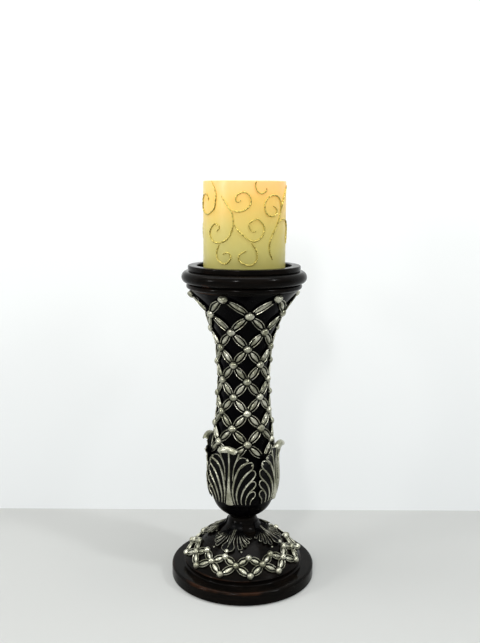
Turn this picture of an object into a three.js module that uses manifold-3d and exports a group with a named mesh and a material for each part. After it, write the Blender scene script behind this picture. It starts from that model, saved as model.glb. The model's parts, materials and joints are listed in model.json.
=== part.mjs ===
// Torchere candle stand: a turned, dark-stained foot and candle cup, a gloss-black column and
// bulb dressed with cast silver lattice and acanthus leaves, and a flameless pillar candle.
// Millimetres, +Z up. The origin is the centre of the underside, and -Y faces the viewer.
import * as THREE from 'three';
import { mergeVertices } from 'three/addons/utils/BufferGeometryUtils.js';
import Module from 'manifold-3d';

const wasm = await Module();
wasm.setup();

// ---------------------------------------------------------------- driving dimensions
const GAP = 0.3; // between curved or cut neighbours
const OVERCUT = 0.5; // a cutting tool reaches this far past the face it opens
const SEGMENTS = 32; // sides of every large turned piece
const COLUMN_RINGS = 12; // rings of the column's hollow outline
const RING_CROWDING = 1.1; // above 1 the rings lie closer together at the column's foot too
const SMALL_SEGMENTS = 16; // sides of rods, washers and the parts inside the candle

// foot, from the table up
const FELT_THICKNESS = 1;
const FELT_INSET = 3.5;
const PLINTH_RADIUS = 69.5;
const PLINTH_HEIGHT = 12;
const PLINTH_ROUND = 2.4;
const STEP_RADIUS = 57.4;
const STEP_HEIGHT = 5.8;
const STEP_COVE = 1.1;
const STEP_ROUND = 0.9;
const DOME_INSET = 0.8; // step rim to dome foot
const DOME_HEIGHT = 29.2;
const DOME_TOP_RADIUS = 19;
const DOME_CROWN = 1.3; // how far the slope swells past a straight cone
const NECK_HEIGHT = 14.5;
const NECK_RADIUS = 14.6;
const NECK_SWEEP = 7.5; // height of the hollow curve at the neck's foot
const NECK_WAIST_DEPTH = 1.2;

// column
const BOWL_HEIGHT = 14.5;
const BOWL_RADIUS = 28.6;
const BOWL_SHOULDER = [3, 4.83]; // control point of the bowl's curve: in from its rim, up from the neck
const BULB_HEIGHT = 61.5;
const BELLY_RADIUS = 33.1;
const BELLY_LEVEL = 36.5; // above the neck
const COLUMN_FOOT_RADIUS = 29.4;
const COLUMN_HEIGHT = 157.8;
const WAIST_RADIUS = 22.8;
const WAIST_LEVEL = 66; // above the column's foot
const FLARE_RADIUS = 50.5;
const FOOT_POWER = 1.5; // how sharply the column widens below its waist
const FLARE_POWER = 2.9; // and above it

// candle cup
const COLLAR_HEIGHT = 6.7;
const COLLAR_RADIUS = 54.2;
const COLLAR_FILLET = 1.4;
const SPIGOT_RADIUS = 20;
const TORUS_RADIUS = 5.7;
const TORUS_REACH = 58.7;
const TORUS_END = 70; // degrees above level at which the torus meets the lip's groove
const CUP_HEIGHT = 16.5;
const LIP_RADIUS = 52.6;
const LIP_ROUND = 1.1;
const LIP_GROOVE = 0.6;
const RECESS_RADIUS = 44.25;
const RECESS_DEPTH = 12;

// the rod that clamps the stack
const ROD_RADIUS = 3;
const ROD_OVERHANG = 1.1;
const NUT_FLATS = 10;
const NUT_HEIGHT = 5;
const WASHER_RADIUS = 6.2;
const WASHER_THICKNESS = 1.2;
const POCKET_RADIUS = 8;

// lattice of beads and petals
const NET_CLEARANCE = 0.6; // under the cast net, whose flat facets bridge the round wall
const COLUMN_NET_COUNT = 6;
const COLUMN_NET_ANGLE = -22.5; // azimuth of the first bead, degrees
const COLUMN_NET_TOP = 2.2; // column top to the first row
const COLUMN_NET_PITCH = 16.9;
const COLUMN_NET_SHRINK = 0.147; // rows close up towards the waist
const COLUMN_NET_END = 13; // lowest bead row stays this far above the column's foot
const COLUMN_NET_TAIL = 0.5; // share of the last petals that shows above the leaves
const DOME_NET_COUNT = 12;
const DOME_NET_ANGLE = 7.5;
const DOME_NET_ROWS = [3.5, 13.2, 20.6]; // up the slope from the dome's foot
const BEAD_RADIUS = 3.1;
const BEAD_HEIGHT = 4.7;
const PETAL_WIDTH = 6.2;
const PETAL_TIP_WIDTH = 2.2;
const PETAL_HEIGHT = 2.6;
const PETAL_FULLNESS = 0.6; // under 1 the lens keeps its width nearer to its ends
const PETAL_SECTIONS = 3;

// acanthus leaves
const LEAF_COUNT = 4; // in each of the two rings
const LEAF_ANGLE = -23; // azimuth of the first leaf, degrees
const BULB_LEAF_THICKNESS = 1.6;
const BULB_LEAF_RIB = 0.9;
const BULB_LEAF_TOP = 10.5; // roll's centre above the bulb
const BULB_LEAF_LOBES = 5;
const BULB_LEAF_NOTCH = 0.2; // share of the half width
const BULB_LEAF_ROOT = 0.1; // how much narrower the leaf is at its root
const BULB_LEAF_SHOULDER = 0.27; // and at its topmost lobes
const BULB_LEAF_THROAT = 7; // free length between the topmost lobes and the roll
const BULB_LEAF_START = 1.8; // the root stands this far above the bowl
const ROLL_RADIUS = 2.1;
const ROLL_HALF_WIDTH = 8.3;
const ROLL_REACH = 36.5; // radius of the roll's centre
const ROLL_ANGLE = 200; // degrees of the tip's roll
const ROLL_CORNER = 0.75; // share of the half width left at the roll's end
const DOME_LEAF_SPREAD = 41; // half angle at its widest, degrees
const DOME_LEAF_ROOT = 20; // and at its root
const DOME_LEAF_WIDEST = 0.55; // share of its length, from the tip
const DOME_LEAF_FULLNESS = 0.55; // under 1 its tip is broad and round
const DOME_LEAF_TIP = 0.03; // share of the length that the blunt tip stands for
const DOME_LEAF_THICKNESS = 1.2;
const DOME_LEAF_RIB = 0.7;
const DOME_LEAF_START = 1.5; // the root stays this far below the sweep's upper end
const LEAF_SPACING = 0.9; // between neighbouring leaves
const LEAF_CLEARANCE = 0.5; // under a leaf, whose flat facets bridge the round wall

// candle
const CANDLE_RADIUS = 38.1;
const CANDLE_HEIGHT = 88.9;
const CANDLE_EDGE = 0.8;
const WELL_RADIUS = 31.5;
const WELL_DEPTH = 18;
const CORD_WIDTH = 1.4;
const CORD_HEIGHT = 1.1;

// power unit under the candle
const UNIT_RADIUS = 30;
const UNIT_FLANGE = 4.4;
const UNIT_RECESS = 0.5; // the flange stands in from the wax
const UNIT_ROOM = 5.5; // free height over the flange for the switch
const UNIT_WALL = 1.6;
const UNIT_ROOF = 1.6;
const BATTERY_RADIUS = 5.2;
const BATTERY_LENGTH = 44;
const BATTERY_COUNT = 3;
const CAP_RADIUS = 1.9;
const CAP_HEIGHT = 1;
const CONTACT_THICKNESS = 0.4;
const WIRE_HOLE = 2;
const COVER_OVERHANG = 2.1; // cover edge past the battery bore
const COVER_THICKNESS = 1.8;
const TAB_REACH = 1.8;
const TAB_THICKNESS = 0.6;
const TAB_HALF_ANGLE = 14;
const TAB_PLAY = 2; // degrees of play on each side of a tab in its notch
const TAB_ROOT = 1; // a tab reaches this far into the cover's disc
const TAB_TURN = 30; // locked to released, degrees
const TAB_PLACES = [0, 180]; // degrees round the cover
const COIN_SLOT = [14, 2, 1];
const BOARD_RADIUS = 10;
const BOARD_THICKNESS = 1.6;
const STEM_RADIUS = 3;
const LAMP_RADIUS = 2.5;
const LAMP_HEIGHT = 8.6;
const LAMP_SHOW = 4.5; // lamp's tip above the well's floor
const SWITCH_PLACE = 22; // from the axis
const SWITCH_CASE = [9, 5, 4];
const SLIDER_SIZE = [4.5, 3];
const SLIDER_TRAVEL = 3.5;

// ---------------------------------------------------------------- levels and radii
const plinthBottom = FELT_THICKNESS;
const plinthTop = plinthBottom + PLINTH_HEIGHT;
const stepTop = plinthTop + STEP_HEIGHT;
const domeTop = stepTop + DOME_HEIGHT;
const neckTop = domeTop + NECK_HEIGHT;
const bowlTop = neckTop + BOWL_HEIGHT;
const bulbTop = neckTop + BULB_HEIGHT;
const columnTop = bulbTop + COLUMN_HEIGHT;
const collarTop = columnTop + COLLAR_HEIGHT;
const cupTop = collarTop + CUP_HEIGHT;
const seatLevel = cupTop - RECESS_DEPTH;
const pocketDepth = WASHER_THICKNESS + NUT_HEIGHT + ROD_OVERHANG + GAP;
const rodHole = ROD_RADIUS + GAP;

const unitBottom = seatLevel + UNIT_RECESS;
const flangeTop = unitBottom + UNIT_FLANGE;
const batteryRing = (BATTERY_RADIUS + GAP) / Math.sin(Math.PI / BATTERY_COUNT);
const batteryBore = batteryRing + BATTERY_RADIUS + GAP;
const coverRadius = batteryBore + COVER_OVERHANG;
const coverBore = coverRadius + GAP;
const coverTop = unitBottom + GAP + COVER_THICKNESS;
const boreFloor = coverTop + GAP;
const batteryBottom = coverTop + CONTACT_THICKNESS + GAP;
const capTop = batteryBottom + BATTERY_LENGTH;
const roofBottom = capTop + GAP + CONTACT_THICKNESS;
const roofTop = roofBottom + UNIT_ROOF;
const tubeRadius = batteryBore + UNIT_WALL;
const boardTop = roofTop + BOARD_THICKNESS;
const waxTop = seatLevel + CANDLE_HEIGHT;
const wellFloor = waxTop - WELL_DEPTH;
const lampTip = wellFloor + LAMP_SHOW;
const lampBottom = lampTip - LAMP_HEIGHT;
const stemHole = STEM_RADIUS + GAP;

// ---------------------------------------------------------------- colours
const DARK_STAIN = { color: 0x1d1512, roughness: 0.42, metalness: 0 };
const BLACK_GLOSS = { color: 0x09090b, roughness: 0.16, metalness: 0 };
const ANTIQUE_SILVER = { color: 0x9d9c8d, roughness: 0.36, metalness: 0.9 };
const STEEL = { color: 0x8f9296, roughness: 0.35, metalness: 1 };
const FELT = { color: 0x1b1b1b, roughness: 1, metalness: 0 };
const WAX = { color: 0xe8cc82, roughness: 0.55, metalness: 0 };
const GOLD = { color: 0xb8943c, roughness: 0.3, metalness: 0.9 };
const IVORY_PLASTIC = { color: 0xd9d2bd, roughness: 0.5, metalness: 0 };
const BOARD_GREEN = { color: 0x1f5a35, roughness: 0.5, metalness: 0 };
const CELL_SLEEVE = { color: 0x2f3a44, roughness: 0.35, metalness: 0.3 };
const LAMP_AMBER = { color: 0xffc46b, roughness: 0.1, metalness: 0 };

// ---------------------------------------------------------------- solids
const radians = THREE.MathUtils.degToRad;

function volumeOf(positions, index) {
  const [a, b, c] = [new THREE.Vector3(), new THREE.Vector3(), new THREE.Vector3()];
  let total = 0;
  for (let i = 0; i < index.length; i += 3) {
    a.fromBufferAttribute(positions, index[i]);
    b.fromBufferAttribute(positions, index[i + 1]);
    c.fromBufferAttribute(positions, index[i + 2]);
    total += a.dot(b.cross(c)) / 6;
  }
  return total;
}

// Joins shared corners, drops the empty triangles on an axis and turns every face outward.
function closedBody(geometry) {
  geometry.deleteAttribute('normal');
  geometry.deleteAttribute('uv');
  const body = mergeVertices(geometry, 1e-4);
  const kept = [];
  const index = body.index.array;
  for (let i = 0; i < index.length; i += 3) {
    const [a, b, c] = [index[i], index[i + 1], index[i + 2]];
    if (a !== b && b !== c && c !== a) kept.push(a, b, c);
  }
  if (volumeOf(body.attributes.position, kept) < 0) kept.reverse();
  body.setIndex(kept);
  return body;
}

function fromTriangles(points, faces) {
  const geometry = new THREE.BufferGeometry();
  geometry.setAttribute('position', new THREE.Float32BufferAttribute(points.flat(), 3));
  geometry.setIndex(faces.flat());
  return closedBody(geometry);
}

// A section of [radius, height] points turned about Z. It starts and ends on the axis, or
// closes on itself round the rod's hole.
function turned(section, segments = SEGMENTS) {
  const points = section.map(([r, z]) => new THREE.Vector2(r, z));
  if (section[0][0] > 0) points.push(points[0].clone());
  return closedBody(new THREE.LatheGeometry(points, segments).rotateX(Math.PI / 2));
}

function arc(radius, height, size, fromDegrees, toDegrees, steps) {
  return Array.from({ length: steps + 1 }, (_, i) => {
    const angle = radians(fromDegrees + ((toDegrees - fromDegrees) * i) / steps);
    return [radius + size * Math.cos(angle), height + size * Math.sin(angle)];
  });
}

function bend(start, control, end, steps) {
  const curve = new THREE.QuadraticBezierCurve(
    new THREE.Vector2(...start), new THREE.Vector2(...control), new THREE.Vector2(...end));
  return curve.getPoints(steps).map((p) => [p.x, p.y]);
}

function prism(shape, bottom, height, curveSegments = 6) {
  const options = { depth: height, bevelEnabled: false, curveSegments };
  return closedBody(new THREE.ExtrudeGeometry(shape, options).translate(0, 0, bottom));
}

function block([x, y, z], centre) {
  return closedBody(new THREE.BoxGeometry(x, y, z).translate(...centre));
}

function toSolid(geometry) {
  return new wasm.Manifold(new wasm.Mesh({
    numProp: 3,
    vertProperties: new Float32Array(geometry.attributes.position.array),
    triVerts: new Uint32Array(geometry.index.array),
  }));
}

function toGeometry(solid) {
  const mesh = solid.getMesh();
  const geometry = new THREE.BufferGeometry();
  geometry.setAttribute('position', new THREE.BufferAttribute(mesh.vertProperties, 3));
  geometry.setIndex(new THREE.BufferAttribute(mesh.triVerts, 1));
  return closedBody(geometry);
}

function cut(geometry, ...tools) {
  return toGeometry(tools.reduce((solid, tool) => solid.subtract(toSolid(tool)), toSolid(geometry)));
}

function join(geometry, ...others) {
  return toGeometry(others.reduce((solid, other) => solid.add(toSolid(other)), toSolid(geometry)));
}

// A wall seen in section, walked by its length from the first point. The outward side is on
// the right of the walk upward.
class Wall {
  constructor(points) {
    this.points = points;
    this.marks = [0];
    for (let i = 1; i < points.length; i += 1) {
      const [dr, dz] = [points[i][0] - points[i - 1][0], points[i][1] - points[i - 1][1]];
      this.marks.push(this.marks[i - 1] + Math.hypot(dr, dz));
    }
    this.length = this.marks.at(-1);
  }

  // Radius and height at a length, moved outward by lift.
  at(length, lift = 0) {
    let i = 1;
    while (i < this.marks.length - 1 && this.marks[i] < length) i += 1;
    const [a, b] = [this.points[i - 1], this.points[i]];
    const step = this.marks[i] - this.marks[i - 1];
    const share = (length - this.marks[i - 1]) / step;
    const [tr, tz] = [(b[0] - a[0]) / step, (b[1] - a[1]) / step];
    return [a[0] + (b[0] - a[0]) * share + tz * lift, a[1] + (b[1] - a[1]) * share - tr * lift];
  }

  lengthAt(height) {
    let i = 1;
    while (i < this.points.length - 1 && this.points[i][1] < height) i += 1;
    const share = (height - this.points[i - 1][1]) / (this.points[i][1] - this.points[i - 1][1]);
    return this.marks[i - 1] + share * (this.marks[i] - this.marks[i - 1]);
  }
}

// A point at an azimuth in radians, where 0 faces the viewer and the angle grows to the right.
function around([radius, height], azimuth) {
  return [radius * Math.sin(azimuth), -radius * Math.cos(azimuth), height];
}

// ---------------------------------------------------------------- foot and neck
const domeFootRadius = STEP_RADIUS - DOME_INSET;

function domeSection(steps) {
  return Array.from({ length: steps + 1 }, (_, i) => {
    const share = i / steps;
    const swell = DOME_CROWN * Math.sin(Math.PI * share);
    return [domeFootRadius + (DOME_TOP_RADIUS - domeFootRadius) * share + swell,
      stepTop + DOME_HEIGHT * share + swell];
  });
}

function neckSweep(steps) {
  const slope = (domeFootRadius - DOME_TOP_RADIUS) / DOME_HEIGHT;
  const control = [NECK_RADIUS, domeTop + (DOME_TOP_RADIUS - NECK_RADIUS) / slope];
  return bend([DOME_TOP_RADIUS, domeTop], control, [NECK_RADIUS, domeTop + NECK_SWEEP], steps);
}

function feltPad() {
  const radius = PLINTH_RADIUS - FELT_INSET;
  return turned([[0, 0], [radius, 0], [radius, FELT_THICKNESS], [0, FELT_THICKNESS]]);
}

function basePlinth() {
  const pocketTop = plinthBottom + pocketDepth;
  const edge = arc(PLINTH_RADIUS - PLINTH_ROUND, plinthTop - PLINTH_ROUND, PLINTH_ROUND, 0, 90, 2);
  return turned([
    [rodHole, pocketTop], [POCKET_RADIUS, pocketTop], [POCKET_RADIUS, plinthBottom],
    [PLINTH_RADIUS, plinthBottom], ...edge, [rodHole, plinthTop],
  ]);
}

function baseStep() {
  const waist = STEP_RADIUS - STEP_COVE;
  const rim = arc(STEP_RADIUS - STEP_ROUND, stepTop - STEP_ROUND, STEP_ROUND, -90, 90, 2);
  const rimBottom = rim[0][1];
  return turned([
    [rodHole, plinthTop], [STEP_RADIUS + STEP_COVE, plinthTop],
    [waist, plinthTop + STEP_COVE], [waist, rimBottom - STEP_COVE / 2], ...rim,
    [rodHole, stepTop],
  ]);
}

function baseDome() {
  return turned([[rodHole, stepTop], ...domeSection(5), [rodHole, domeTop]]);
}

function neckSpool() {
  const waist = bend([NECK_RADIUS, domeTop + NECK_SWEEP],
    [NECK_RADIUS - 2 * NECK_WAIST_DEPTH, (domeTop + NECK_SWEEP + neckTop) / 2],
    [NECK_RADIUS, neckTop], 3);
  return turned([[rodHole, domeTop], ...neckSweep(3), ...waist.slice(1), [rodHole, neckTop]]);
}

// ---------------------------------------------------------------- bulb and column
// The belly bulges between two heights as a parabola on each side of its widest level.
function bellyRadius(height) {
  const widest = neckTop + BELLY_LEVEL;
  const below = height < widest;
  const endRadius = below ? BOWL_RADIUS : COLUMN_FOOT_RADIUS;
  const endHeight = below ? bowlTop : bulbTop;
  return BELLY_RADIUS - (BELLY_RADIUS - endRadius) * ((height - widest) / (endHeight - widest)) ** 2;
}

function bellySection(steps) {
  return Array.from({ length: steps + 1 }, (_, i) => {
    const height = bowlTop + ((bulbTop - bowlTop) * i) / steps;
    return [bellyRadius(height), height];
  });
}

function bulbBody() {
  const shoulder = [BOWL_RADIUS - BOWL_SHOULDER[0], neckTop + BOWL_SHOULDER[1]];
  const bowl = bend([NECK_RADIUS, neckTop], shoulder, [BOWL_RADIUS, bowlTop], 4);
  return turned([[rodHole, neckTop], ...bowl, ...bellySection(5).slice(1), [rodHole, bulbTop]]);
}

function columnRadius(height) {
  const waist = bulbTop + WAIST_LEVEL;
  if (height < waist) {
    const share = (waist - height) / WAIST_LEVEL;
    return WAIST_RADIUS + (COLUMN_FOOT_RADIUS - WAIST_RADIUS) * share ** FOOT_POWER;
  }
  const share = (height - waist) / (columnTop - waist);
  return WAIST_RADIUS + (FLARE_RADIUS - WAIST_RADIUS) * share ** FLARE_POWER;
}

// Rings lie closer together where the flare bends most.
function columnSection() {
  return Array.from({ length: COLUMN_RINGS + 1 }, (_, i) => {
    const share = Math.sin((Math.PI / 2) * (i / COLUMN_RINGS)) ** RING_CROWDING;
    const height = bulbTop + COLUMN_HEIGHT * share;
    return [columnRadius(height), height];
  });
}

function columnCore() {
  return turned([[rodHole, bulbTop], ...columnSection(), [rodHole, columnTop]]);
}

// ---------------------------------------------------------------- candle cup
function cupCollar() {
  const bead = (COLLAR_HEIGHT - COLLAR_FILLET) / 2;
  const round = arc(COLLAR_RADIUS - bead, collarTop - bead, bead, -90, 90, 4);
  const inner = SPIGOT_RADIUS + GAP;
  return turned([
    [inner, columnTop], [FLARE_RADIUS, columnTop], ...round, [inner, collarTop],
  ]);
}

function candleCup() {
  const torusCentre = [TORUS_REACH - TORUS_RADIUS, collarTop + TORUS_RADIUS];
  const torus = arc(...torusCentre, TORUS_RADIUS, -90, TORUS_END, 6);
  const lip = arc(LIP_RADIUS - LIP_ROUND, cupTop - LIP_ROUND, LIP_ROUND, 0, 90, 2);
  const torusTop = torus.at(-1)[1];
  const pocketFloor = seatLevel - pocketDepth;
  return turned([
    [rodHole, columnTop], [SPIGOT_RADIUS, columnTop], [SPIGOT_RADIUS, collarTop], ...torus,
    [LIP_RADIUS - LIP_GROOVE, torusTop + LIP_GROOVE],
    [LIP_RADIUS, torusTop + 2 * LIP_GROOVE], ...lip,
    [RECESS_RADIUS + LIP_ROUND, cupTop], [RECESS_RADIUS, cupTop - LIP_ROUND],
    [RECESS_RADIUS, seatLevel], [POCKET_RADIUS, seatLevel], [POCKET_RADIUS, pocketFloor],
    [rodHole, pocketFloor],
  ]);
}

// ---------------------------------------------------------------- rod, nuts and washers
function tieRod() {
  const bottom = plinthBottom + GAP;
  const top = seatLevel - GAP;
  const section = [[0, bottom], [ROD_RADIUS, bottom], [ROD_RADIUS, top], [0, top]];
  return turned(section, SMALL_SEGMENTS);
}

function washer(bottom) {
  const top = bottom + WASHER_THICKNESS;
  const section = [[rodHole, bottom], [WASHER_RADIUS, bottom], [WASHER_RADIUS, top], [rodHole, top]];
  return turned(section, SMALL_SEGMENTS);
}

function hexNut(bottom) {
  const sides = 6;
  const corner = NUT_FLATS / 2 / Math.cos(Math.PI / sides);
  const turn = (2 * Math.PI) / sides;
  const shape = new THREE.Shape(Array.from({ length: sides }, (_, i) => new THREE.Vector2(
    corner * Math.cos(turn * i), corner * Math.sin(turn * i))));
  shape.holes.push(new THREE.Path().absarc(0, 0, rodHole, 0, 2 * Math.PI, true));
  return prism(shape, bottom, NUT_HEIGHT, SMALL_SEGMENTS / 2);
}

// ---------------------------------------------------------------- lattice
// Beads in staggered rows round a wall, each joined by lens-shaped petals to the two nearest
// beads of the next row. rows are lengths along the wall; tail is how much of a further row of
// petals hangs from the last beads.
function lattice({ wall, rows, count, firstAngle, tail = 0 }) {
  const points = [];
  const faces = [];
  const pitch = (2 * Math.PI) / count;
  const heights = { inner: NET_CLEARANCE, outer: PETAL_HEIGHT };
  const add = (length, azimuth, lift) => points.push(around(wall.at(length, lift), azimuth)) - 1;
  const quad = (a, b, c, d) => faces.push([a, b, c], [a, c, d]);
  const tube = (low, high) => low.forEach((corner, k) => {
    const next = (k + 1) % low.length;
    quad(corner, low[next], high[next], high[k]);
  });

  // A spot of the net: its place on the wall and the directions in which petals leave it.
  const spot = (row, place) => {
    const azimuth = radians(firstAngle) + pitch * (place + (row % 2 ? 0.5 : 0));
    return { length: rows[row], azimuth, radius: wall.at(rows[row])[0] };
  };
  // Corner of a cross-section: along and across are distances in the wall from a spot.
  const corner = (from, along, across, lift) => add(
    from.length + along, from.azimuth + across / from.radius, lift);

  const heading = (from, to) => {
    const across = (to.azimuth - from.azimuth) * from.radius;
    return Math.atan2(to.length - from.length, across);
  };

  // Four corners of a petal's end where it leaves the bead: left and right, inner and outer.
  const port = (from, angle) => {
    const reach = Math.sqrt(BEAD_RADIUS ** 2 - (PETAL_TIP_WIDTH / 2) ** 2);
    const side = (sign, lift) => corner(from,
      reach * Math.sin(angle) + sign * (PETAL_TIP_WIDTH / 2) * Math.cos(angle),
      reach * Math.cos(angle) - sign * (PETAL_TIP_WIDTH / 2) * Math.sin(angle), lift);
    return { left: [side(1, heights.inner), side(1, heights.outer)],
      right: [side(-1, heights.inner), side(-1, heights.outer)] };
  };

  const bead = (from, angles) => {
    const sorted = angles.slice().sort((a, b) => a - b);
    const ports = sorted.map((angle) => ({ angle, ...port(from, angle) }));
    const rim = ports.flatMap((p) => [p.right, p.left]);
    const crown = corner(from, 0, 0, BEAD_HEIGHT);
    const root = corner(from, 0, 0, heights.inner);
    rim.forEach((edge, i) => {
      const next = rim[(i + 1) % rim.length];
      faces.push([edge[1], next[1], crown], [next[0], edge[0], root]);
      if (i % 2) quad(edge[0], next[0], next[1], edge[1]);
    });
    return new Map(ports.map((p) => [p.angle, p]));
  };

  // A lens from one port to another, swelling to its full width at half way.
  const petal = (from, to, start, end, share) => {
    const run = { length: to.length - from.length, azimuth: to.azimuth - from.azimuth };
    const radiusAt = (s) => wall.at(from.length + run.length * s)[0];
    let previous = [...start.left.slice(0, 2), start.right[1], start.right[0]];
    const span = end ? PETAL_SECTIONS - 1 : PETAL_SECTIONS;
    for (let i = 1; i <= span; i += 1) {
      const s = (i / PETAL_SECTIONS) * share;
      const half = (PETAL_WIDTH / 2) * Math.sin(Math.PI * s) ** PETAL_FULLNESS;
      const radius = radiusAt(s);
      const angle = Math.atan2(run.length, run.azimuth * radius);
      const place = { length: from.length + run.length * s, azimuth: from.azimuth + run.azimuth * s };
      const middle = { radius, ...place };
      const [rise, reach] = [half * Math.cos(angle), -half * Math.sin(angle)];
      const side = (sign, lift) => corner(middle, sign * rise, sign * reach, lift);
      const ring = [side(1, heights.inner), side(1, heights.outer),
        side(-1, heights.outer), side(-1, heights.inner)];
      tube(previous, ring);
      previous = ring;
    }
    if (!end) {
      quad(previous[0], previous[1], previous[2], previous[3]);
      return;
    }
    tube(previous, [end.right[0], end.right[1], end.left[1], end.left[0]]);
  };

  const last = rows.length - 1;
  const hanging = { length: rows[last] + (rows[last] - rows[last - 1]) };
  const neighbours = (row, place, step) => {
    const target = row + step;
    if (target < 0 || (target > last && !tail)) return [];
    const first = row % 2 ? place : place - 1;
    return [0, 1].map((shift) => {
      if (target <= last) return spot(target, first + shift);
      const from = spot(row, place);
      const azimuth = from.azimuth + pitch * (shift - 0.5);
      return { length: hanging.length, azimuth, radius: from.radius };
    });
  };

  const beads = rows.map((_, row) => Array.from({ length: count }, (__, place) => {
    const from = spot(row, place);
    const ways = [-1, 1].flatMap((step) => neighbours(row, place, step).map((to) => heading(from, to)));
    return { from, ports: bead(from, ways), ways };
  }));

  rows.forEach((_, row) => beads[row].forEach(({ from, ports, ways }, place) => {
    const targets = neighbours(row, place, 1);
    const firstWay = ways.length - targets.length;
    targets.forEach((to, shift) => {
      const start = ports.get(ways[firstWay + shift]);
      if (row === last) {
        petal(from, to, start, null, tail);
        return;
      }
      const other = beads[row + 1][((row % 2 ? place : place - 1) + shift + count) % count];
      petal(from, to, start, other.ports.get(other.ways[1 - shift]), 1);
    });
  }));
  return fromTriangles(points, faces);
}

function columnNetRows(wall) {
  const rows = [];
  for (let i = 0; ; i += 1) {
    const height = columnTop - COLUMN_NET_TOP - COLUMN_NET_PITCH * i + COLUMN_NET_SHRINK * i ** 2;
    if (height < bulbTop + COLUMN_NET_END) return rows;
    rows.push(wall.lengthAt(height));
  }
}

function columnLattice() {
  const wall = new Wall(columnSection());
  const rows = columnNetRows(wall);
  return lattice({ wall, rows, count: COLUMN_NET_COUNT, firstAngle: COLUMN_NET_ANGLE,
    tail: COLUMN_NET_TAIL });
}

function baseLattice() {
  return lattice({ wall: new Wall(domeSection(12)), rows: DOME_NET_ROWS, count: DOME_NET_COUNT,
    firstAngle: DOME_NET_ANGLE });
}

// ---------------------------------------------------------------- leaves
// A curved sheet round the axis. Each row gives its line along the wall, its half angle and its
// thickness; the middle column is raised as a rib.
function leaf({ wall, rows, centre, columns, thickness, rib }) {
  const points = [];
  const faces = [];
  const face = (lift) => rows.map(({ length, half }) => Array.from({ length: columns + 1 }, (_, i) => {
    const share = (2 * i) / columns - 1;
    const raised = lift > 0 && share === 0 ? lift + rib : lift;
    return points.push(around(wall.at(length, raised), centre + half * share)) - 1;
  }));
  const outer = face(thickness / 2);
  const inner = face(-thickness / 2);
  const quad = (a, b, c, d) => faces.push([a, b, c], [a, c, d]);
  for (let r = 0; r < rows.length - 1; r += 1) {
    for (let i = 0; i < columns; i += 1) {
      quad(outer[r][i], outer[r][i + 1], outer[r + 1][i + 1], outer[r + 1][i]);
      quad(inner[r][i + 1], inner[r][i], inner[r + 1][i], inner[r + 1][i + 1]);
    }
    quad(inner[r][0], outer[r][0], outer[r + 1][0], inner[r + 1][0]);
    quad(outer[r][columns], inner[r][columns], inner[r + 1][columns], outer[r + 1][columns]);
  }
  const end = rows.length - 1;
  for (let i = 0; i < columns; i += 1) {
    quad(inner[0][i], inner[0][i + 1], outer[0][i + 1], outer[0][i]);
    quad(outer[end][i], outer[end][i + 1], inner[end][i + 1], inner[end][i]);
  }
  return fromTriangles(points, faces);
}

// Up the belly, straight on past the bulb, then rolled outward at the tip.
function bulbLeafWall() {
  const lift = LEAF_CLEARANCE + BULB_LEAF_THICKNESS / 2;
  const belly = new Wall(bellySection(12));
  const widest = belly.lengthAt(neckTop + BELLY_LEVEL);
  const steps = 5;
  const climb = Array.from({ length: steps + 1 }, (_, i) => belly.at(
    BULB_LEAF_START + ((widest - BULB_LEAF_START) * i) / steps, lift));
  const roll = arc(ROLL_REACH, bulbTop + BULB_LEAF_TOP, ROLL_RADIUS, 180, 180 - ROLL_ANGLE, 6);
  return new Wall([...climb, ...roll]);
}

function bulbLeaf(index) {
  const wall = bulbLeafWall();
  const rollLength = ROLL_RADIUS * radians(ROLL_ANGLE);
  const rollStart = wall.length - rollLength;
  const lobeEnd = rollStart - BULB_LEAF_THROAT;
  const widest = Math.PI / LEAF_COUNT - LEAF_SPACING / 2 / BELLY_RADIUS;
  const steps = 2 * BULB_LEAF_LOBES - 1;
  const rows = Array.from({ length: steps + 1 }, (_, i) => {
    const share = i / steps;
    const envelope = 1 - BULB_LEAF_ROOT * (1 - share) ** 3 - BULB_LEAF_SHOULDER * share ** 6;
    const lobe = i % 2 ? 1 : 1 - BULB_LEAF_NOTCH;
    return { length: lobeEnd * share, half: widest * envelope * lobe };
  });
  const tipHalf = ROLL_HALF_WIDTH / ROLL_REACH;
  rows.push({ length: (lobeEnd + rollStart) / 2, half: tipHalf });
  const rollSteps = 4;
  for (let i = 0; i <= rollSteps; i += 1) {
    const corner = i === rollSteps ? ROLL_CORNER : 1;
    rows.push({ length: rollStart + (rollLength * i) / rollSteps, half: tipHalf * corner });
  }
  return leaf({ wall, rows, columns: 6, thickness: BULB_LEAF_THICKNESS, rib: BULB_LEAF_RIB,
    centre: radians(LEAF_ANGLE + (360 / LEAF_COUNT) * index) });
}

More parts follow.
